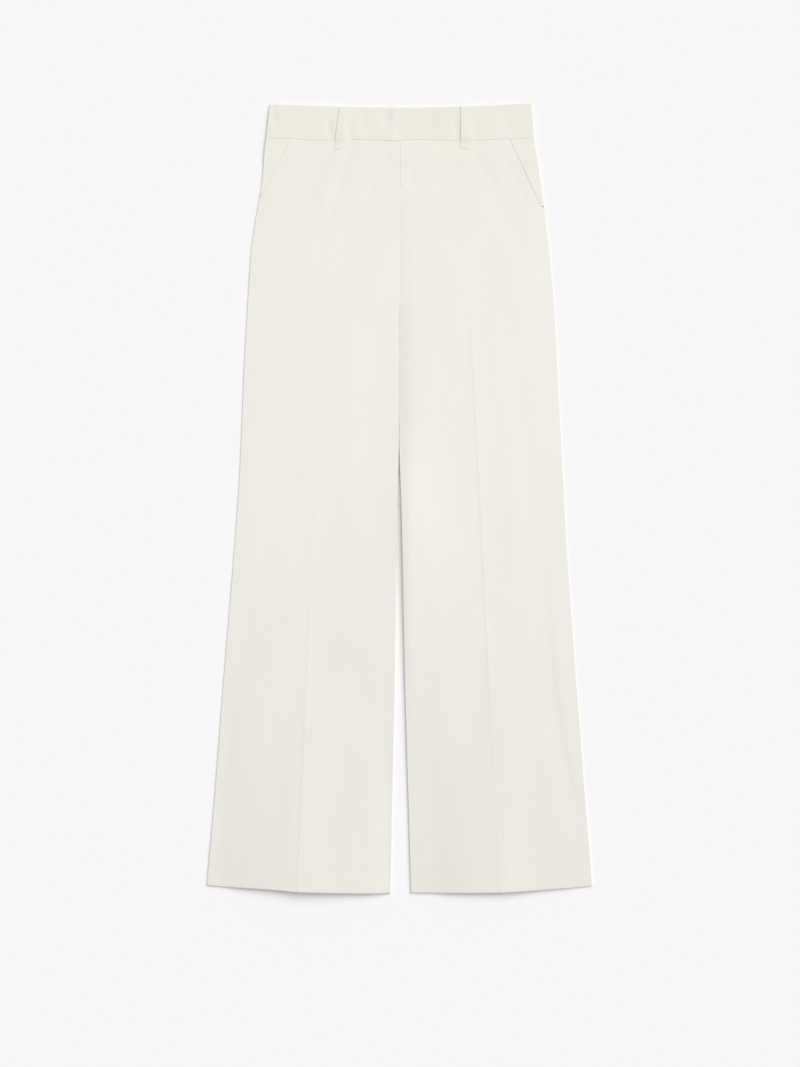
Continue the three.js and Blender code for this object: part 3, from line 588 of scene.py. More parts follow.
def fold_relief(x, down):
    """Height that the folds add at points of the fronts: troughs with soft lips."""
    relief = np.zeros_like(x)
    steps = np.linspace(0, 1, FOLD_STEPS)[:, None]
    for k, (depth, width, skew) in enumerate(zip(FOLDS["depth"], FOLDS["width"], FOLDS["skew"])):
        start, middle, end = (np.array([FOLDS[f"x{i}"][k], FOLDS[f"d{i}"][k]]) for i in range(3))
        bend = 2 * middle - (start + end) / 2
        path = (1 - steps) ** 2 * start + 2 * steps * (1 - steps) * bend + steps**2 * end
        reach = FOLD_REACH * width * max(1, skew)
        low, high = path.min(0) - reach, path.max(0) + reach
        near = (x > low[0]) & (x < high[0]) & (down > low[1]) & (down < high[1])
        if not near.any():
            continue
        p = np.stack([x[near], down[near]], 1)[:, None]
        a, step = path[:-1][None], np.diff(path, axis=0)[None]
        t = np.clip(((p - a) * step).sum(2) / (step**2).sum(2), 0, 1)
        gap = p - a - t[..., None] * step
        distance = np.hypot(gap[..., 0], gap[..., 1])
        best = distance.argmin(1)
        rows = np.arange(len(best))
        along = (best + t[rows, best]) / (len(path) - 1)
        on_left = gap[rows, best, 0] < 0
        off = distance[rows, best] / np.where(on_left, width * skew, width)
        faded = np.clip(FOLD_TAPER["start"] + FOLD_TAPER["span"] * along, 0, 1)
        lip = FOLD_LIP["height"] * np.exp(-((off - FOLD_LIP["off"]) / FOLD_LIP["width"]) ** 2)
        relief[near] -= depth * np.sin(math.pi * faded) ** FOLD_TAPER["power"] * (np.exp(-off**2) - lip)
    return relief


def front_base(side, x, down, outer, inner):
    """Height of the front's upper face before its ribs and crease. down is one level."""
    settings = cloth_settings()
    from_outer, from_inner = np.abs(outer - x), np.abs(x - inner)
    top = stack("side", down) + stack("swell", down) * (1 - np.exp(-from_outer / SWELL_REACH))
    rise = INSEAM_SHARE[side.name] * read(INSEAM, "down", "rise", down)
    top = top + rise * np.exp(-((from_inner / INSEAM_REACH) ** 2))
    below = max(0.0, (down - HEM_SPRING_FROM) / (HEM_DOWN - HEM_SPRING_FROM))
    top = top + below**HEM_SPRING_BEND * read(HEM_SPRING[side.name], "across", "lift", x)
    top = top - HEM_DENT * math.exp(-(((down - HEM_DOWN + HEM_TURN) / HEM_DENT_WIDTH) ** 2))
    levels = np.full_like(x, down)
    soft = settings.fold_strength * fold_relief(x, levels) + settings.rumple * rumple(x, levels)
    top = top + soft * (1 - np.exp(-from_outer / SOFT_REACH))
    if side.name == "right":
        return top + (lap_level(top, down) - top) * lapped_edge(side, x, down)
    start = max(FLY_EDGE + LAP_STEP, inner)
    off = np.clip((x - start) / read(FLY_VALLEY, "down", "reach", down), 0, 1)
    shown = top - read(FLY_VALLEY, "down", "depth", down) * (1 - off) ** FLY_VALLEY_BEND
    under = lap_level(top, down) - LAP_CLOTH + lap_feather(x, down) - LAP_REST
    tucked = lap_covers(down) * (1 - ease(x, FLY_EDGE, FLY_EDGE + LAP_STEP))
    return shown + (np.minimum(shown, under) - shown) * tucked


def lapped_edge(side, x, down):
    """How fully a point of the right front lies in its lapped edge, which is pressed thin."""
    return lap_covers(down) * ease(x, *LAP_THIN) if side.name == "right" else 0.0


def mouth_press(side, mouth, x):
    """How much thinner a front is pressed beside its pocket mouth."""
    inside = side.sign * (mouth - x)
    return (cloth_settings().cloth - MOUTH_CLOTH) * (1 - ease(inside, 0.0, MOUTH_PRESS))


def crease_relief(side, x, down):
    """The pressed crease: sharp towards the right of the body, and easing off on its left."""
    off = x - side.crease(down)
    flank = np.where(off < 0, np.exp(off / CREASE_FLANK), np.exp(-off / CREASE_EASE[side.name]))
    return cloth_settings().crease_height * read(CREASE_PRESS[side.name], "down", "press", down) * flank


def legs_apart(down):
    """How fully the inner edges of the legs have come apart, each with a rolled side."""
    return float(ease(down, *LEGS_PART))


def ditch(down):
    """How far a front's end rolls down, in walls: a little at the waist seam, more at the hem."""
    return SEAM_DITCH if down < HEM_DOWN / 2 else HEM_EDGE


def ribs_show(down):
    """How plainly the ribs stand up: pressed almost flat above the knees, fuller below."""
    full = float(ease(down, RIB_PRESS["from"], RIB_PRESS["to"]))
    return RIB_PRESS["share"] + (1 - RIB_PRESS["share"]) * full


def rib_notch(across):
    """How far the edge of a pocket mouth steps in at the grooves between the ribs."""
    phase = math.pi * across / cloth_settings().rib_pitch
    return MOUTH_NOTCH * (1 - abs(math.sin(phase))) ** 2


# ---------------------------------------------------------------- building closed cloth

RIM_TURNS = np.radians([0, 14, 28, 42, 56, 68, 80, 90])
END_TURNS = np.radians([6, 28, 50, 70, 90])
ROW_ROOM = 0.0008       # least room between a piece's rolled end and its next row


def flat(height):
    """A face at one height, or points at one level."""
    return partial(np.full_like, fill_value=height)


def graded(start, end, steps):
    """Levels from start to end. steps gives (until, spacing) pairs."""
    levels, at = [], start
    for until, spacing in steps:
        until = min(until, end)
        count = max(1, round((until - at) / spacing))
        levels += list(np.linspace(at, until, count, endpoint=False))
        at = until
    return np.array(levels + [end])


def piece_rows(levels, start, end, radius_start, radius_end):
    """(level, rise) for each row of a piece: rolled at both ends and full between."""
    opening = [(start + radius_start * (1 - math.cos(t)), math.sin(t)) for t in END_TURNS]
    closing = [(end - radius_end * (1 - math.cos(t)), math.sin(t)) for t in END_TURNS[::-1]]
    low, high = opening[-1][0] + ROW_ROOM, closing[0][0] - ROW_ROOM
    return opening + [(level, 1.0) for level in levels if low < level < high] + closing


class Grid:
    """Points in rows and columns. A row may lack columns at either end; those fall together
    on its crown, so a panel can narrow while its columns run on along the ribs."""

    def __init__(self):
        self.points, self.across, self.rise, self.index = [], [], [], []
        self.count = 0

    def add_row(self, points, across, rise, columns):
        """columns gives, for each column of the whole grid, the point of this row it uses."""
        self.points.append(points)
        self.across.append(across)
        self.rise.append(np.full(len(points), rise))
        self.index.append(columns + self.count)
        self.count += len(points)

    def faces(self, facing):
        faces = []
        for above, below in zip(self.index[:-1], self.index[1:]):
            a, b, c, d = above[:-1], above[1:], below[1:], below[:-1]
            wide, low = a != b, c != d
            shapes = ((wide & low, (a, d, c, b)), (wide & ~low, (a, d, b)), (~wide & low, (a, d, c)))
            for chosen, corners in shapes:
                order = corners if facing > 0 else (a, *corners[:0:-1])
                faces += np.stack([v[chosen] for v in order], 1).tolist()
        return faces

    def rim(self):
        """The four sides of the grid's edge, in order round it."""
        first, last = (row[np.concatenate([[True], np.diff(row) != 0])]
                       for row in (self.index[0], self.index[-1]))
        left = np.array([row[0] for row in self.index])
        right = np.array([row[-1] for row in self.index])
        return first, right, last[::-1], left[::-1]


def zip_rims(one, two, places_one, places_two, flip):
    """Triangles between two lines of points, each given by how far along it the point is."""
    faces, i, j = [], 0, 0
    while i < len(one) - 1 or j < len(two) - 1:
        step_one = j == len(two) - 1 or (i < len(one) - 1 and places_one[i + 1] <= places_two[j + 1])
        if step_one:
            face = (one[i], one[i + 1], two[j])
            i += 1
        else:
            face = (one[i], two[j + 1], two[j])
            j += 1
        faces.append(face[::-1] if flip else face)
    return faces


class Row:
    """One row across a piece of cloth. ends gives, for its two edges, the place across, how
    fully the cloth turns under there and the radius of its roll where it doesn't. centre is
    where the columns are counted from, and level_of says how far down a point lies. rise is
    how plainly the ribs stand up. The columns beside a bend move to its two sides. Where the
    ribs run across the piece, ribs_at is the row's own place among them."""

    def __init__(self, ends, centre, level_of, cloth, rise=1.0, bend=None, ribs_at=None):
        self.edges, self.turns, self.rolls = zip(*sorted(ends))
        self.centre, self.level_of, self.cloth = centre, level_of, cloth
        self.rise, self.bend, self.ribs_at = rise, bend, ribs_at

    def radius(self, i):
        return self.rolls[i] + (RIM_RADIUS - self.rolls[i]) * self.turns[i]

    def crown(self, i):
        return self.edges[i] + (1 if i == 0 else -1) * self.radius(i)

    def feet(self, outer_face, inner_face, share, rim=None):
        """Heights at which the two edges of both faces end. An edge that turns under meets the
        rim. A cut or folded one ends a share of its wall above the inner face."""
        feet, tucks = [], []
        for i, turn in enumerate(self.turns):
            place = np.array([self.crown(i)])
            crown = float(inner_face(place)[0])
            cut = crown + share * float(outer_face(place)[0] - crown)
            moved = 0.0 if rim is None else turn
            meet = crown if rim is None else rim
            feet.append(cut + (meet - cut) * moved)
            tucks.append(crown + (meet - crown) * moved)
        return feet, tucks

    def rolled_edge(self, i, face, foot, inner):
        """Places across, heights and places among the ribs of the points on one edge's roll."""
        full = min(self.cloth, RIM_RADIUS / 2)
        wall = CUT_WALL + (full - CUT_WALL) * self.turns[i] if inner else 0.0
        inset = wall + (self.radius(i) - wall) * (1 - np.cos(RIM_TURNS))
        direction = 1 if i == 0 else -1
        x = self.edges[i] + direction * inset
        crown = face(np.array([self.crown(i)]))[0]
        z = foot + (crown - foot) * np.sin(RIM_TURNS)
        length = np.concatenate([[0], np.cumsum(np.hypot(np.diff(x), np.diff(z)))])
        across = self.crown(i) - self.centre - direction * (length[-1] - length)
        return np.stack([x, z, across])[:, ::direction]

    def columns(self, numbers, spacing, inner):
        """Places of the columns that run along the ribs, and which lie inside the crowns."""
        places = self.centre + numbers * spacing
        if self.bend is not None and not inner:
            low, high = self.bend
            middle = (low + high) / 2
            places = np.where((places > low - spacing) & (places <= middle), low, places)
            places = np.where((places > middle) & (places < high + spacing), high, places)
        room = 0.2 * spacing
        return places, (places > self.crown(0) + room) & (places < self.crown(1) - room)


class Piece:
    """A piece of cloth made row by row: an outer face, and an inner face with fewer columns.
    spacing is from one column of the outer face to the next, reach how many there are to each
    side of the middle one, and coarse how many of them one column of the inner face takes."""

    def __init__(self, spacing, reach, coarse, slant=1.0):
        self.spacing, self.reach, self.coarse, self.slant = spacing, reach, coarse, slant
        self.outer, self.inner = Grid(), Grid()

    @classmethod
    def of_leg(cls, side, coarse):
        """A piece of a leg, with four columns to a rib. Its ribs lean with the crease."""
        slant = math.cos(math.atan(side.lean()))
        return cls(cloth_settings().rib_pitch / 4 / slant, 200, coarse, slant)

    def add_row(self, row, outer_face, inner_face, feet, tucks):
        """The faces give heights at places across, feet and tucks where their edges end."""
        self.add_to(self.outer, row, outer_face, feet, False)
        self.add_to(self.inner, row, inner_face, tucks, True)

    def add_to(self, grid, row, face, feet, inner):
        numbers = np.arange(-self.reach, self.reach + 1, self.coarse if inner else 1)
        places, inside = row.columns(numbers, self.spacing, inner)
        middle = places[inside]
        heights = face(middle) if len(middle) else middle
        left, right = (row.rolled_edge(i, face, feet[i], inner) for i in (0, 1))
        between = np.stack([middle, heights, middle - row.centre])
        x, z, across = np.concatenate([left, between, right], axis=1)
        if row.ribs_at is None:
            across = across * self.slant
        else:
            across = np.full_like(x, row.ribs_at)
        rim, count = len(RIM_TURNS), inside.sum()
        order = np.cumsum(inside) - 1 + rim
        before = numbers < (numbers[inside].min() if count else 0)
        index = np.where(inside, order, np.where(before, rim - 1, rim + count))
        columns = np.concatenate([np.arange(rim), index, rim + count + np.arange(rim)])
        points = np.stack([x, WAIST_Y - row.level_of(x), z], 1)
        grid.add_row(points, across, 0.0 if inner else row.rise, columns)

    def finish(self, name, facing, node, flat_size, area, rests_on):
        """Closes the mesh, raises its ribs, hangs it on the body and hides the CAD part that it
        stands for. facing is 1 where the outer face looks up and -1 where it looks down."""
        slot = "band_velvet" if node.startswith(("waistband", "belt_loop")) else "ribbed_velvet"
        material = velvet(*VELVETS[slot])
        piece = self.closed(name, facing)
        settings = cloth_settings()
        apply_tree(piece, rib_tree(), {
            "Pitch": settings.rib_pitch, "Height": settings.rib_height, "Material": material})
        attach(piece, BODY)
        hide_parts(node)
        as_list(rests_on)

    def closed(self, name, facing):
        outer, inner = self.outer, self.inner
        points = np.concatenate(outer.points + inner.points)
        faces = outer.faces(facing)
        faces += [tuple(v + outer.count for v in face) for face in inner.faces(-facing)]
        for one, two in zip(outer.rim(), inner.rim()):
            two = two + outer.count
            lengths = []
            for line in (one, two):
                steps = np.linalg.norm(np.diff(points[line], axis=0), axis=1)
                lengths.append(np.concatenate([[0], np.cumsum(steps)]) / max(steps.sum(), 1e-9))
            faces += zip_rims(one, two, *lengths, flip=facing < 0)
        mesh = bpy.data.meshes.new(name)
        mesh.from_pydata(points.tolist(), [], [tuple(int(v) for v in face) for face in faces])
        mesh.validate()
        mesh.polygons.foreach_set("use_smooth", np.ones(len(mesh.polygons), bool))
        across = np.concatenate(outer.across + inner.across).astype(np.float32)
        rise = np.concatenate(outer.rise + inner.rise).astype(np.float32)
        mesh.attributes.new("across", "FLOAT", "POINT").data.foreach_set("value", across)
        mesh.attributes.new("rise", "FLOAT", "POINT").data.foreach_set("value", rise)
        corners = np.zeros(len(mesh.loops), np.int32)
        mesh.loops.foreach_get("vertex_index", corners)
        along = points[:, 0] if "waistband" in name else WAIST_Y - points[:, 1]
        uv = np.stack([across[corners], along[corners]], 1).astype(np.float32)
        mesh.uv_layers.new(name="cloth").data.foreach_set("uv", uv.ravel())
        return new_object(name, mesh)


def new_object(name, data):
    made = bpy.data.objects.new(name, data)
    bpy.context.scene.collection.objects.link(made)
    return made


# ---------------------------------------------------------------- ribs and stitches

def add_node(tree, kind, values, **settings):
    """Adds a node, and sets each of the sockets named to a value or links it to a socket."""
    node = tree.nodes.new(kind)
    for name, setting in settings.items():
        setattr(node, name, setting)
    for socket, value in values.items():
        if isinstance(value, bpy.types.NodeSocket):
            tree.links.new(value, node.inputs[socket])
        else:
            node.inputs[socket].default_value = value
    return node


def maths(tree, operation, *values):
    return add_node(tree, "ShaderNodeMath", dict(enumerate(values)), operation=operation).outputs[0]


def rib_arch(tree, across, pitch):
    """How high a rib stands at a place across the cloth: 0 in its grooves, 1 on top."""
    phase = maths(tree, "FRACT", maths(tree, "DIVIDE", across, pitch))
    wave = maths(tree, "SINE", maths(tree, "MULTIPLY", phase, math.pi))
    return maths(tree, "POWER", maths(tree, "ABSOLUTE", wave), RIB_ROUND)


def new_tree(name, sizes):
    """A Geometry Nodes tree that takes a geometry, the sizes named and a material."""
    tree = bpy.data.node_groups.new(name, "GeometryNodeTree")
    kinds = {"Geometry": "Geometry", **dict.fromkeys(sizes, "Float"), "Material": "Material"}
    for socket, kind in kinds.items():
        tree.interface.new_socket(socket, in_out="INPUT", socket_type=f"NodeSocket{kind}")
    tree.interface.new_socket("Geometry", in_out="OUTPUT", socket_type="NodeSocketGeometry")
    return tree, tree.nodes.new("NodeGroupInput").outputs


def end_tree(tree, geometry, given, smooth=False):
    """Ends a tree: its instances made real, shaded smooth if asked, and its material set."""
    made = add_node(tree, "GeometryNodeRealizeInstances", {0: geometry})
    if smooth:
        made = add_node(tree, "GeometryNodeSetShadeSmooth", {"Geometry": made.outputs[0]})
    paint = {"Geometry": made.outputs[0], "Material": given["Material"]}
    made = add_node(tree, "GeometryNodeSetMaterial", paint)
    add_node(tree, "NodeGroupOutput", {0: made.outputs[0]})
    return tree


def rib_tree():
    """Geometry Nodes that raise a cloth's ribs: a rounded rib at each pitch across."""
    name = "Raise ribs"
    if name in bpy.data.node_groups:
        return bpy.data.node_groups[name]
    tree, given = new_tree(name, ("Pitch", "Height"))
    across, rise = (
        add_node(tree, "GeometryNodeInputNamedAttribute", {"Name": attribute}, data_type="FLOAT")
        .outputs["Attribute"] for attribute in ("across", "rise"))
    arch = rib_arch(tree, across, given["Pitch"])
    lift = maths(tree, "MULTIPLY", maths(tree, "MULTIPLY", arch, given["Height"]), rise)
    normal = add_node(tree, "GeometryNodeInputNormal", {}).outputs[0]
    offset = add_node(tree, "ShaderNodeVectorMath", {0: normal, "Scale": lift}, operation="SCALE")
    move = add_node(tree, "GeometryNodeSetPosition", {
        "Geometry": given["Geometry"], "Offset": offset.outputs[0]})
    return end_tree(tree, move.outputs[0], given)


def stitch_tree():
    """Geometry Nodes that sew along lines: one stitch at each length, laid along the line."""
    name = "Sew stitches"
    if name in bpy.data.node_groups:
        return bpy.data.node_groups[name]
    tree, given = new_tree(name, ("Stitch length", "Thread"))
    curve = add_node(tree, "GeometryNodeMeshToCurve", {"Mesh": given["Geometry"]})
    points = add_node(tree, "GeometryNodeCurveToPoints", {
        "Curve": curve.outputs[0], "Length": given["Stitch length"]}, mode="LENGTH")
    ball = add_node(tree, "GeometryNodeMeshUVSphere", {"Segments": 6, "Rings": 5, "Radius": 0.5})
    long = maths(tree, "MULTIPLY", given["Stitch length"], STITCH_FILL)
    size = add_node(tree, "ShaderNodeCombineXYZ", {"X": given["Thread"], "Y": given["Thread"], "Z": long})
    lay = add_node(tree, "GeometryNodeInstanceOnPoints", {
        "Points": points.outputs["Points"], "Instance": ball.outputs["Mesh"],
        "Rotation": points.outputs["Rotation"], "Scale": size.outputs[0]})
    return end_tree(tree, lay.outputs[0], given, smooth=True)


def apply_tree(piece, tree, values):
    """Runs a Geometry Nodes tree on a piece and keeps the result as its plain mesh."""
    modifier = piece.modifiers.new(tree.name, "NODES")
    modifier.node_group = tree
    for item in tree.interface.items_tree:
        if item.item_type == "SOCKET" and item.in_out == "INPUT" and item.name in values:
            modifier[item.identifier] = values[item.name]
    bpy.context.view_layer.update()
    made = bpy.data.meshes.new_from_object(piece.evaluated_get(bpy.context.evaluated_depsgraph_get()))
    piece.modifiers.remove(modifier)
    old, piece.data = piece.data, made
    bpy.data.meshes.remove(old)
    made.name = piece.name


# ---------------------------------------------------------------- materials

# Each slot's velvet and its warmth, from 0 to 1.
VELVETS = {"ribbed_velvet": ("ribbed velvet", 0.0), "band_velvet": ("ribbed velvet band", 1.0)}
# Noise in the pile: sizes across the ribs and along them, and detail.
PATCHES = (0.045, 0.160, 2.0)
FLECKS = (0.0022, 0.0090, 3.0)
FIBRES = (0.0005, 0.0012, 2.0)
# How light the velvet is, and how much lighter the patches and the flecks make it.
NAP = {"level": 0.950, "patches": 0.05, "flecks": 0.04}
# Painted shade: down the legs the velvet gets darker, as light falls off towards the hems. Below the waist it
# starts creamier: from, to and by how much.
PAINTED_SHADE_DOWN = (0.35, 1.15, 0.055)
CREAMIER = (0.10, 0.34, 0.028)
# What full warmth takes away, from all three and from each.
WARMTH = {"all": 0.012, "red": 0.004, "green": 0.010, "blue": 0.036}


def new_material(name, values):
    """A material, with values for its shader's own sockets. Gives it, its tree and the shader."""
    material = bpy.data.materials.new(name)
    material.use_nodes = True
    shader = material.node_tree.nodes["Principled BSDF"]
    for socket, value in values.items():
        shader.inputs[socket].default_value = value
    return material, material.node_tree, shader


def velvet(name, warmth):
    """Ribbed velvet: soft pile on the ribs, a darker ground between them (partly its own tone, partly painted
    shade in the grooves), a faint nap, and painted shade that darkens it down the legs.
    It follows the piece's own map, across the ribs and along them. warmth is from 0 to 1."""
    if name in bpy.data.materials:
        return bpy.data.materials[name]
    settings = cloth_settings()
    material, tree, shader = new_material(name, {
        "Roughness": 0.92, "Specular IOR Level": 0.15, "Sheen Weight": 0.22,
        "Sheen Roughness": 0.45, "Sheen Tint": (1.0, 0.98, 0.94, 1.0)})
    cloth_map = add_node(tree, "ShaderNodeUVMap", {}, uv_map="cloth").outputs[0]
    parts = add_node(tree, "ShaderNodeSeparateXYZ", {0: cloth_map}).outputs

    def noise(size_across, size_along, detail):
        stretch = add_node(tree, "ShaderNodeMapping", {
            "Vector": cloth_map, "Scale": (1 / size_across, 1 / size_along, 1.0)})
        return add_node(tree, "ShaderNodeTexNoise", {
            "Vector": stretch.outputs[0], "Scale": 1.0, "Detail": detail}).outputs["Fac"]

    def change(start, end, first, last):
        """A value that changes smoothly down the garment, from one level to another."""
        return add_node(tree, "ShaderNodeMapRange", {
            "Value": parts["Y"], "From Min": start, "From Max": end, "To Min": first,
            "To Max": last}, interpolation_type="SMOOTHSTEP").outputs["Result"]

    def mix(factor, first, second, blend):
        return add_node(tree, "ShaderNodeMix", {
            "Factor": factor, "A": first, "B": second}, data_type="RGBA", blend_type=blend).outputs["Result"]

    # darker grooves: partly the ground's own tone, partly painted shade in the recesses between the ribs
    grooves, pile = (*settings.groove_colour_and_shade, 1.0), (*settings.velvet_colour, 1.0)
    colour = mix(rib_arch(tree, parts["X"], settings.rib_pitch), grooves, pile, "MIX")
    broad = maths(tree, "MULTIPLY", noise(*PATCHES), NAP["patches"])
    fine = maths(tree, "MULTIPLY", noise(*FLECKS), NAP["flecks"])
    # painted shade: the velvet gets darker down the legs, as light falls off towards the hems
    lean = change(*PAINTED_SHADE_DOWN[:2], 0.0, -PAINTED_SHADE_DOWN[2] * (1 - warmth))
    nap_and_painted_shade = maths(tree, "ADD", maths(tree, "ADD", broad, fine), lean)
    level = maths(tree, "ADD", nap_and_painted_shade, NAP["level"] - WARMTH["all"] * warmth)
    cream = change(*CREAMIER[:2], -CREAMIER[2] * (1 - warmth), 0.0)
    red, green, blue = (
        maths(tree, "ADD", level, -WARMTH[part] * warmth) for part in ("red", "green", "blue"))
    shade = add_node(tree, "ShaderNodeCombineColor", {
        "Red": red, "Green": green, "Blue": maths(tree, "ADD", blue, cream)})
    tree.links.new(mix(1.0, colour, shade.outputs[0], "MULTIPLY"), shader.inputs["Base Color"])
    bump = add_node(tree, "ShaderNodeBump", {
        "Strength": 0.35, "Distance": 0.0002, "Height": noise(*FIBRES)})
    tree.links.new(bump.outputs[0], shader.inputs["Normal"])
    return material


def thread_material():
    name = "sewing thread"
    if name in bpy.data.materials:
        return bpy.data.materials[name]
    material, tree, shader = new_material(name, {
        "Base Color": (*cloth_settings().thread_colour, 1.0), "Roughness": 0.7, "Sheen Weight": 0.1})
    place = add_node(tree, "ShaderNodeTexCoord", {}).outputs["Object"]
    twist = add_node(tree, "ShaderNodeTexNoise", {"Vector": place, "Scale": 900.0}).outputs["Fac"]
    bump = add_node(tree, "ShaderNodeBump", {"Distance": 0.0001, "Height": twist})
    tree.links.new(bump.outputs[0], shader.inputs["Normal"])
    return material


# ---------------------------------------------------------------- the pieces

class TROUSERS_OT_backs(bpy.types.Operator):
    """Make the two back leg panels, which lie flat on the surface"""

    bl_idname = "trousers.backs"
    bl_label = "Back panels"

    # How far apart the rows are: until which level, and by how much.
    spacing = ((0.110, 0.008), (0.360, 0.016), (1.030, 0.024), (1.070, 0.008), (HEM_DOWN, 0.012))

    def execute(self, context):
        for side in both_sides():
            self.make(side)
        return {"FINISHED"}

    def make(self, side):
        start = side.seam_down
        levels = graded(start, HEM_DOWN, self.spacing)
        piece = Piece.of_leg(side, 8)
        for down, rise in piece_rows(levels, start, HEM_DOWN, SEAM_RADIUS, HEM_RADIUS["back"]):
            lift, cloth = float(stack("lift", down)), float(layer(down))
            ends = [(side.edge(side.side_line, down), 1.0, CUT_RADIUS),
                    (side.edge(side.back_inner, down), legs_apart(down), CUT_RADIUS)]
            row = Row(ends, float(side.crease(down)), partial(side.level, down), cloth)
            rim = float(stack("rim", down)) - SEAM_GAP / 2
            feet = row.feet(flat(lift), flat(lift + cloth), CUT_SHARE, rim)
            bottom = lift + cloth_settings().rib_height + (1 - rise) * BACK_EDGE * cloth
            piece.add_row(row, flat(bottom), flat(lift + cloth), *feet)
        piece.finish(f"{side.name}_back_leg", -1, f"back_{side.name}", PANEL["size"],
                     PANEL["back_area"], ["floor"])


class TROUSERS_OT_fronts(bpy.types.Operator):
    """Make the two front leg panels, with their creases, folds and turned-up hems"""

    bl_idname = "trousers.fronts"
    bl_label = "Front panels"

    # The same. The rows are close at the pocket mouths and at the line of the hem's sewing.
    spacing = ((0.260, 0.0050), (0.460, 0.0085), (1.046, 0.0100), (1.064, 0.0015), (HEM_DOWN, 0.0080))

    def execute(self, context):
        for side in both_sides():
            self.make(side)
        return {"FINISHED"}

    def make(self, side):
        start = side.seam_down - SEAM_CLOSE
        levels = graded(start, HEM_DOWN, ((side.mouth_down + 0.004, 0.0016), *self.spacing))
        piece = Piece.of_leg(side, 8)
        for down, rise in piece_rows(levels, start, HEM_DOWN, SEAM_RADIUS, HEM_RADIUS["front"]):
            self.add_row(piece, side, down, rise)
        piece.finish(f"{side.name}_front_leg", 1, f"front_{side.name}", PANEL["size"],
                     PANEL["front_area"], [f"back_{side.name}"])

    def add_row(self, piece, side, down, rise):
        cloth = float(layer(down))
        side_line = side.edge(side.side_line, down)
        edge_out, edge_in = side.edge(side.front_outer, down), side.edge(side.front_inner, down)
        shut = float(ease(down, side.mouth_down, side.mouth_down + MOUTH_SHUT))
        at_side = float(ease(down, side.mouth_down - MOUTH_PAST, side.mouth_down + MOUTH_JOIN))
        edge_out -= side.sign * (1 - at_side) * rib_notch(edge_out - side.crease(down))
        edge_out += (side_line - edge_out) * at_side
        apart = legs_apart(down)
        edge_in -= side.sign * SEAM_CLOSE / 2 * (1 - apart)
        lies_under = side.sign > 0 and edge_in < FLY_EDGE - LAP_LEAST
        row = Row(
            [(edge_out, shut, MOUTH_RADIUS), (edge_in, apart, LAP_RADIUS)], float(side.crease(down)),
            partial(side.level, down), cloth, rise * ribs_show(down),
            (FLY_EDGE, FLY_EDGE + LAP_STEP) if lies_under else None)
        lowest = float(stack("lift", down)) + 2 * cloth + SEAM_GAP
        sunk = cloth_settings().rib_height * RIB_SINK + (1 - rise) * ditch(down) * cloth

        def base(x):
            return np.maximum(front_base(side, x, down, side_line, edge_in), lowest)

        def top(x):
            return base(x) + crease_relief(side, x, down) - sunk

        def underside(x):
            pressed = (cloth - LAP_CLOTH) * lapped_edge(side, x, down)
            feathered = lap_feather(x, down) if side.sign < 0 else 0.0
            beside_mouth = (1 - shut) * mouth_press(side, edge_out, x)
            return base(x) - cloth + pressed + feathered + beside_mouth

        rim = float(stack("rim", down)) + SEAM_GAP / 2
        piece.add_row(row, top, underside, *row.feet(top, underside, CUT_SHARE, rim))


class TROUSERS_OT_bearers(bpy.types.Operator):
    """Make the cloth seen inside the slanted pocket mouths"""

    bl_idname = "trousers.bearers"
    bl_label = "Pocket bearers"

    def execute(self, context):
        for side in both_sides():
            self.make(side)
        return {"FINISHED"}

    def make(self, side):
        start, end = side.seam_down - SEAM_CLOSE, side.mouth_down - MOUTH_PAST
        piece = Piece.of_leg(side, 4)
        levels = graded(start, end, [(end, 0.0016)])
        for down, rise in piece_rows(levels, start, end, SEAM_RADIUS, BEARER_ROLL):
            self.add_row(piece, side, down, rise)
        width, length = BEARER["width"], end - start
        piece.finish(f"{side.name}_pocket_bearer", 1, f"pocket_bearer_{side.name}",
                     (width, length + BEARER["longer"]), BEARER["share"] * width * length,
                     [f"back_{side.name}"])

    def add_row(self, piece, side, down, rise):
        settings = cloth_settings()
        edge_out, mouth = side.edge(side.side_line, down), side.edge(side.front_outer, down)
        front_edge = side.edge(side.front_inner, down)
        row = Row(
            [(edge_out, 1.0, CUT_RADIUS), (mouth - side.sign * BEARER_TUCK, 0.0, CUT_RADIUS)],
            float(side.crease(down)), partial(side.level, down), BEARER_CLOTH,
            rise * ribs_show(down), tuple(sorted((mouth, mouth + side.sign * BEARER_RISE))))

        def underside(x):
            level = front_base(side, x, down, edge_out, front_edge)
            shown = ease(side.sign * (x - mouth), 0.0, BEARER_RISE)
            covered = settings.cloth + SEAM_GAP + settings.rib_height - mouth_press(side, mouth, x)
            return level - covered - BEARER_CLOTH + (covered - BEARER_STEP) * shown

        def full(x):
            return underside(x) + BEARER_CLOTH

        def top(x):
            return full(x) - (1 - rise) * BEARER_EDGE * BEARER_CLOTH

        rim = float(stack("rim", down)) + SEAM_GAP / 2
        piece.add_row(row, top, underside, *row.feet(full, underside, CUT_SHARE, rim))


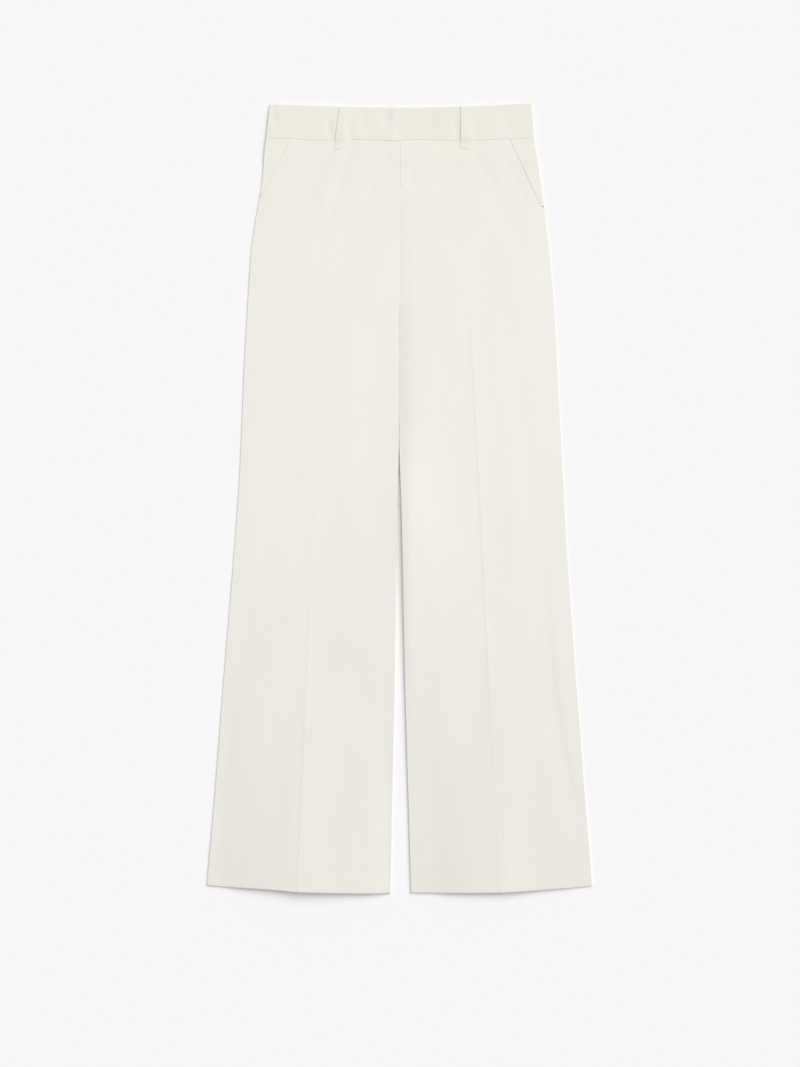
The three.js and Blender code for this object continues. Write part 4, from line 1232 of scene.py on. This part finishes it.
class TROUSERS_OT_waistband(bpy.types.Operator):
    """Make the waistband: the two front halves, lapped at the centre, and the back"""

    bl_idname = "trousers.waistband"
    bl_label = "Waistband"

    def execute(self, context):
        sides = both_sides()
        for side in sides:
            self.make_front(side)
        self.make_back(sides)
        return {"FINISHED"}

    def rows(self, roll):
        """Shares of the band's height, with rows along its ribs, rolled at both folded edges."""
        height = BAND["height"]
        levels = np.arange(0, height, cloth_settings().rib_pitch / 4)
        return [(level / height, level, rise) for level, rise in piece_rows(levels, 0.0, height, roll, roll)]

    def side_edge(self, side, step, lower=0.0):
        middle = side.band_side(0.5 * BAND["height"])
        return float(side.band_side(side.band_level(middle, step, lower)))

    def dents(self, x, step):
        relief = np.zeros_like(x)
        for centre, at, depth, width, lean in zip(*(
                BAND_DENTS[name] for name in ("x", "step", "depth", "width", "lean"))):
            across = np.exp(-((x - centre - lean * (step - at)) / width) ** 2)
            relief -= depth * across * math.exp(-((step - at) / DENT_REACH) ** 2)
        return relief

    def finish(self, piece, name, facing, node, width, rests_on):
        piece.finish(name, facing, node, (width, BAND["height"]), width * BAND["mean_height"], rests_on)

    def make_front(self, side):
        piece = Piece(BAND["columns"], 120, 2)
        inner_end = FLY_EDGE if side.sign < 0 else FLY_EDGE - FLY_LAP
        for step, level, rise in self.rows(BAND["roll"]):
            outer_end = self.side_edge(side, step)
            self.add_front_row(piece, side, outer_end, inner_end, step, level, rise)
        self.finish(piece, f"{side.name}_front_waistband", 1, f"waistband_front_{side.name}",
                    abs(outer_end - inner_end), ["waistband_back"])

    def add_front_row(self, piece, side, outer_end, inner_end, step, level, rise):
        settings = cloth_settings()
        right = side.sign < 0
        under = BAND["rim"] + SEAM_GAP / 2
        sunk = settings.rib_height * RIB_SINK + (1 - rise) * BAND["top_drop" if step < 0.5 else "seam_drop"]
        row = Row(
            [(outer_end, BAND["turn"], CUT_RADIUS), (inner_end, 0.0, LAP_RADIUS)], side.sign * BAND["middle"],
            partial(side.band_level, step=step), BAND_CLOTH, rise * ribs_show(level),
            None if right else (FLY_EDGE, FLY_EDGE + LAP_BEND), level)

        def lap_under(x):
            lifted = BAND_LAP["hollow"] * ease(x, BAND_LAP["from"], -FLY_LAP)
            feathered = BAND_LAP["feather"] * ease(x, BAND_LAP["feather_from"], FLY_EDGE)
            return under + lifted + feathered

        def top(x):
            height = BAND["top"] + self.dents(x, step) + settings.rumple * rumple(x, np.full_like(x, level))
            height = height - BAND["fall"] * np.exp(-np.abs(x - outer_end) / BAND["reach"])
            if right:
                height = height + BAND_LAP["rise"] * ease(x, BAND_LAP["from"], -FLY_LAP)
                height = height - BAND_LAP["fall"] * ease(x, BAND_LAP["fall_from"], FLY_EDGE)
            else:
                height = height - BAND_LAP["fall"] / 2 * (1 - ease(x, FLY_EDGE, BAND_LAP["level_at"]))
                tucked = 1 - ease(x, FLY_EDGE, FLY_EDGE + LAP_BEND)
                height = height + np.minimum(lap_under(x) - LAP_REST - height, 0) * tucked
            return height - sunk

        underside = lap_under if right else flat(under)
        piece.add_row(row, top, underside, *row.feet(top, underside, FOLD_SHARE))

    def make_back(self, sides):
        piece = Piece(BACK_BAND["columns"], 60, 2)
        lift, turn = BAND["lift"], BAND["turn"]

        def level_of(x, step):
            right, left = (side.band_level(x, step, BACK_BAND["lower"]) for side in sides)
            return np.where(x < 0, right, left)

        for step, level, rise in self.rows(BACK_BAND["roll"]):
            edges = [self.side_edge(side, step, BACK_BAND["lower"]) for side in sides]
            row = Row([(edge, turn, CUT_RADIUS) for edge in edges], 0.0, partial(level_of, step=step),
                      BAND_CLOTH, ribs_at=level)
            bottom = lift + cloth_settings().rib_height + (1 - rise) * BACK_BAND["under_drop"]
            top = lift + BAND_CLOTH - (1 - rise) * BACK_BAND["top_drop"]
            piece.add_row(row, flat(bottom), flat(top), [lift + BACK_BAND["side"]] * 2,
                          [lift + BACK_BAND["tuck"]] * 2)
        self.finish(piece, "back_waistband", -1, "waistband_back", edges[1] - edges[0],
                    ["belt_loop_back_centre"])


class TROUSERS_OT_loops(bpy.types.Operator):
    """Make the belt loops, two standing a little off the front and three pressed flat at the back"""

    bl_idname = "trousers.loops"
    bl_label = "Belt loops"

    def execute(self, context):
        for side in both_sides():
            self.make_front(side)
        for place in ("right", "centre", "left"):
            self.make_back(place)
        return {"FINISHED"}

    def strip(self, rows, centre_of, half_of, faces_of, cloth, tilt=0.0):
        """A strip of cloth with its ribs along it, rolled at its two long edges. tilt is how
        much thinner it is pressed at its right edge."""
        piece = Piece(cloth_settings().rib_pitch / 4, 8, 2)
        for level, rise in rows:
            centre, half = centre_of(level), half_of(level)
            ends = [(centre - half, 0.0, LOOP_RADIUS), (centre + half, 0.0, LOOP_RADIUS)]
            row = Row(ends, centre, flat(level), cloth, rise * ribs_show(level))
            top, under = faces_of(level, rise)

            def crown(x):
                return top - tilt * ease(x, centre, centre + half)

            feet = [under + FOLD_SHARE * (top - under), under + FOLD_SHARE * (top - tilt - under)]
            piece.add_row(row, crown, flat(under), feet, [under] * 2)
        return piece

    def make_front(self, side):
        settings = cloth_settings()
        node = f"belt_loop_front_{side.name}"
        low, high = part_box(node)
        first, last = WAIST_Y - high.y, WAIST_Y - low.y
        length = last - first
        ends = Limits(node, 1)

        def leans(level):
            return LOOP_NARROWING[side.name] * (1 - (level - first) / length)

        def centre_of(level):
            y = WAIST_Y - min(max(level, first + LOOP["margin"]), last - LOOP["margin"])
            return float(ends.at("low", y) + ends.at("high", y)) / 2 + leans(level)

        def half_of(level):
            narrow = LOOP["narrow_end"] * float(ease(level, last - LOOP["end_reach"], last))
            return LOOP["half"] - narrow - leans(level)

        def faces_of(level, rise):
            step = (level - first) / length
            x = np.array([centre_of(level)])
            seam = float(side.seam_line(x)[0])
            on_band = 1 - float(ease(level, seam - LOOP["seam"][0], seam + LOOP["seam"][1]))
            below = max(level, LOOP["leg_from"])
            leg = float(front_base(side, x, below, float(side.side_line(below)), 0.0)[0])
            rest = leg + (BAND["top"] - leg) * on_band + SEAM_GAP / 2
            arch = math.sin(math.pi * min(max(step / LOOP["stand_end"], 0), 1)) ** LOOP["bend"]
            under = rest + LOOP["stand"] * arch
            thin = LOOP["thin"] * float(ease(step, *LOOP["thins"]))
            sunk = settings.rib_height * RIB_SINK + (1 - rise) * LOOP["drop"]
            return under + LOOP["cloth"] - thin - sunk, under

        rows = piece_rows(graded(first, last, [(last, 0.0016)]), first, last, *LOOP["rolls"])
        piece = self.strip(rows, centre_of, half_of, faces_of, LOOP["cloth"], LOOP["tilt"])
        size = (2 * LOOP["half"], length + LOOP["turned"])
        piece.finish(f"{side.name}_front_belt_loop", 1, node, size, size[0] * size[1] * LOOP["share"],
                     [f"waistband_front_{side.name}"])

    def make_back(self, place):
        node = f"belt_loop_back_{place}"
        low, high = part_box(node)
        first, last = WAIST_Y - high.y, WAIST_Y - low.y
        cloth = high.z - low.z

        def faces_of(level, rise):
            return cloth_settings().rib_height + (1 - rise) * BACK_LOOP["drop"], cloth

        levels = graded(first, last, [(last, 0.004)])
        rows = piece_rows(levels, first, last, BACK_LOOP["roll"], BACK_LOOP["roll"])
        piece = self.strip(
            rows, lambda level: (low.x + high.x) / 2, lambda level: LOOP["half"], faces_of, cloth)
        size = (2 * LOOP["half"], last - first)
        piece.finish(f"{place}_back_belt_loop", -1, node, size, size[0] * size[1], ["floor"])


class TROUSERS_OT_sewing(bpy.types.Operator):
    """Sew the fly and the belt loops"""

    bl_idname = "trousers.sewing"
    bl_label = "Stitches"

    def execute(self, context):
        sides = both_sides()
        self.sew("fly_topstitch", [self.fly_line(sides[0])], cloth_settings().stitch_length)
        self.sew("loop_bar_tacks", self.tack_lines(sides), TACK_STITCH)
        return {"FINISHED"}

    def sew(self, name, lines, stitch_length):
        """Stitches along lines of points."""
        points, edges = [], []
        for line in lines:
            edges += [(len(points) + i, len(points) + i + 1) for i in range(len(line) - 1)]
            points += [tuple(p) for p in line]
        mesh = bpy.data.meshes.new(name)
        mesh.from_pydata(points, edges, [])
        piece = new_object(name, mesh)
        apply_tree(piece, stitch_tree(), {
            "Stitch length": stitch_length, "Thread": cloth_settings().thread, "Material": thread_material()})
        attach(piece, BODY)

    def fly_line(self, side):
        """The fly's topstitching: straight down beside the lap, then round to its edge."""
        fly = FLY_STITCHES
        straight = fly["straight"]
        line = []
        for t in np.linspace(0, 1, fly["points"]):
            if t < straight:
                x, down = fly["across"], fly["start"] + t / straight * (fly["turn"] - fly["start"])
            else:
                turn = (t - straight) / (1 - straight) * math.pi / 2
                x = fly["across"] + fly["inwards"] * (1 - math.cos(turn))
                down = fly["turn"] + (fly["end"] - fly["turn"]) * math.sin(turn)
            outer, inner = side.edge(side.side_line, down), side.edge(side.front_inner, down)
            height = float(front_base(side, np.array([x]), down, outer, inner)[0])
            line.append((x, WAIST_Y - float(side.level(down, x)), height - cloth_settings().thread / 4))
        return line

    def tack_lines(self, sides):
        lines = []
        for side in sides:
            loop = bpy.data.objects[f"{side.name}_front_belt_loop"]
            points = np.array([v.co for v in loop.data.vertices])
            for up in TACKS:
                y = points[:, 1].min() + up
                near = points[np.abs(points[:, 1] - y) < TACK_NEAR]
                low, high = near.min(0), near.max(0)
                z = high[2] - TACK_SINK
                lines.append([(low[0] + TACK_INSET, y, z), (high[0] - TACK_INSET, y, z)])
        return lines


class TROUSERS_OT_stage(bpy.types.Operator):
    """Make the surface, the lights and the camera, which looks straight down"""

    bl_idname = "trousers.stage"
    bl_label = "Stage"

    def execute(self, context):
        stage = context.scene.trousers_stage
        self.make_floor(stage)
        self.make_lights(context, stage)
        self.make_camera(context, stage)
        return {"FINISHED"}

    def make_floor(self, stage):
        half = stage.surface_size / 2
        corners = [(-half, -half, 0), (half, -half, 0), (half, half, 0), (-half, half, 0)]
        mesh = bpy.data.meshes.new("floor")
        mesh.from_pydata(corners, [], [(0, 1, 2, 3)])
        material, _, _ = new_material("pale surface", {
            "Base Color": (*stage.surface_colour, 1.0), "Roughness": 1.0, "Specular IOR Level": 0.0})
        mesh.materials.append(material)
        new_object("floor", mesh)

    def make_lights(self, context, stage):
        world = bpy.data.worlds.new("even room light")
        world.use_nodes = True
        background = world.node_tree.nodes["Background"]
        background.inputs["Color"].default_value = (1.0, 1.0, 1.0, 1.0)
        background.inputs["Strength"].default_value = stage.room_light
        context.scene.world = world
        lamp = bpy.data.lights.new("soft lamp", "SUN")
        lamp.energy = stage.lamp_light
        lamp.angle = stage.lamp_softness
        light = new_object("soft lamp", lamp)
        x, y, z = LAMP_FROM
        light.rotation_mode = "XYZ"
        light.rotation_euler = (math.atan2(math.hypot(x, y), z), 0.0, math.atan2(y, x) + math.pi / 2)

    def make_camera(self, context, stage):
        data = bpy.data.cameras.new("camera")
        data.sensor_fit = "AUTO"
        data.sensor_width = 36.0
        data.lens = data.sensor_width * stage.camera_height / stage.view_length
        data.clip_start, data.clip_end = 0.1, 50.0
        camera = new_object("camera", data)
        middle = np.mean(FRAME_BOX, axis=0)
        camera.location = (middle[0] + CAMERA_SHIFT[0], middle[1] + CAMERA_SHIFT[1], stage.camera_height)
        context.scene.camera = camera
        context.scene.view_settings.view_transform = "Standard"


class TROUSERS_PT_panel(bpy.types.Panel):
    """The garment's settings and the steps that make it"""

    bl_idname = "TROUSERS_PT_panel"
    bl_label = "Trousers"
    bl_space_type = "VIEW_3D"
    bl_region_type = "UI"
    bl_category = "Trousers"

    def draw(self, context):
        layout = self.layout
        scene = context.scene
        for title, settings in (("Cloth", scene.trousers_cloth), ("Stage", scene.trousers_stage)):
            box = layout.box()
            box.label(text=title)
            for name in settings.__annotations__:
                box.prop(settings, name)
        for operator in OPERATORS:
            layout.operator(operator.bl_idname)


OPERATORS = (
    TROUSERS_OT_backs,
    TROUSERS_OT_fronts,
    TROUSERS_OT_bearers,
    TROUSERS_OT_waistband,
    TROUSERS_OT_loops,
    TROUSERS_OT_sewing,
    TROUSERS_OT_stage,
)
CLASSES = (ClothSettings, StageSettings, *OPERATORS, TROUSERS_PT_panel)


def register():
    for cls in CLASSES:
        bpy.utils.register_class(cls)
    bpy.types.Scene.trousers_cloth = bpy.props.PointerProperty(type=ClothSettings)
    bpy.types.Scene.trousers_stage = bpy.props.PointerProperty(type=StageSettings)


def unregister():
    del bpy.types.Scene.trousers_stage
    del bpy.types.Scene.trousers_cloth
    for cls in reversed(CLASSES):
        bpy.utils.unregister_class(cls)


def main():
    register()
    bpy.ops.trousers.backs()
    bpy.ops.trousers.fronts()
    bpy.ops.trousers.bearers()
    bpy.ops.trousers.waistband()
    bpy.ops.trousers.loops()
    bpy.ops.trousers.sewing()
    bpy.ops.trousers.stage()


if __name__ == "__main__":
    main()
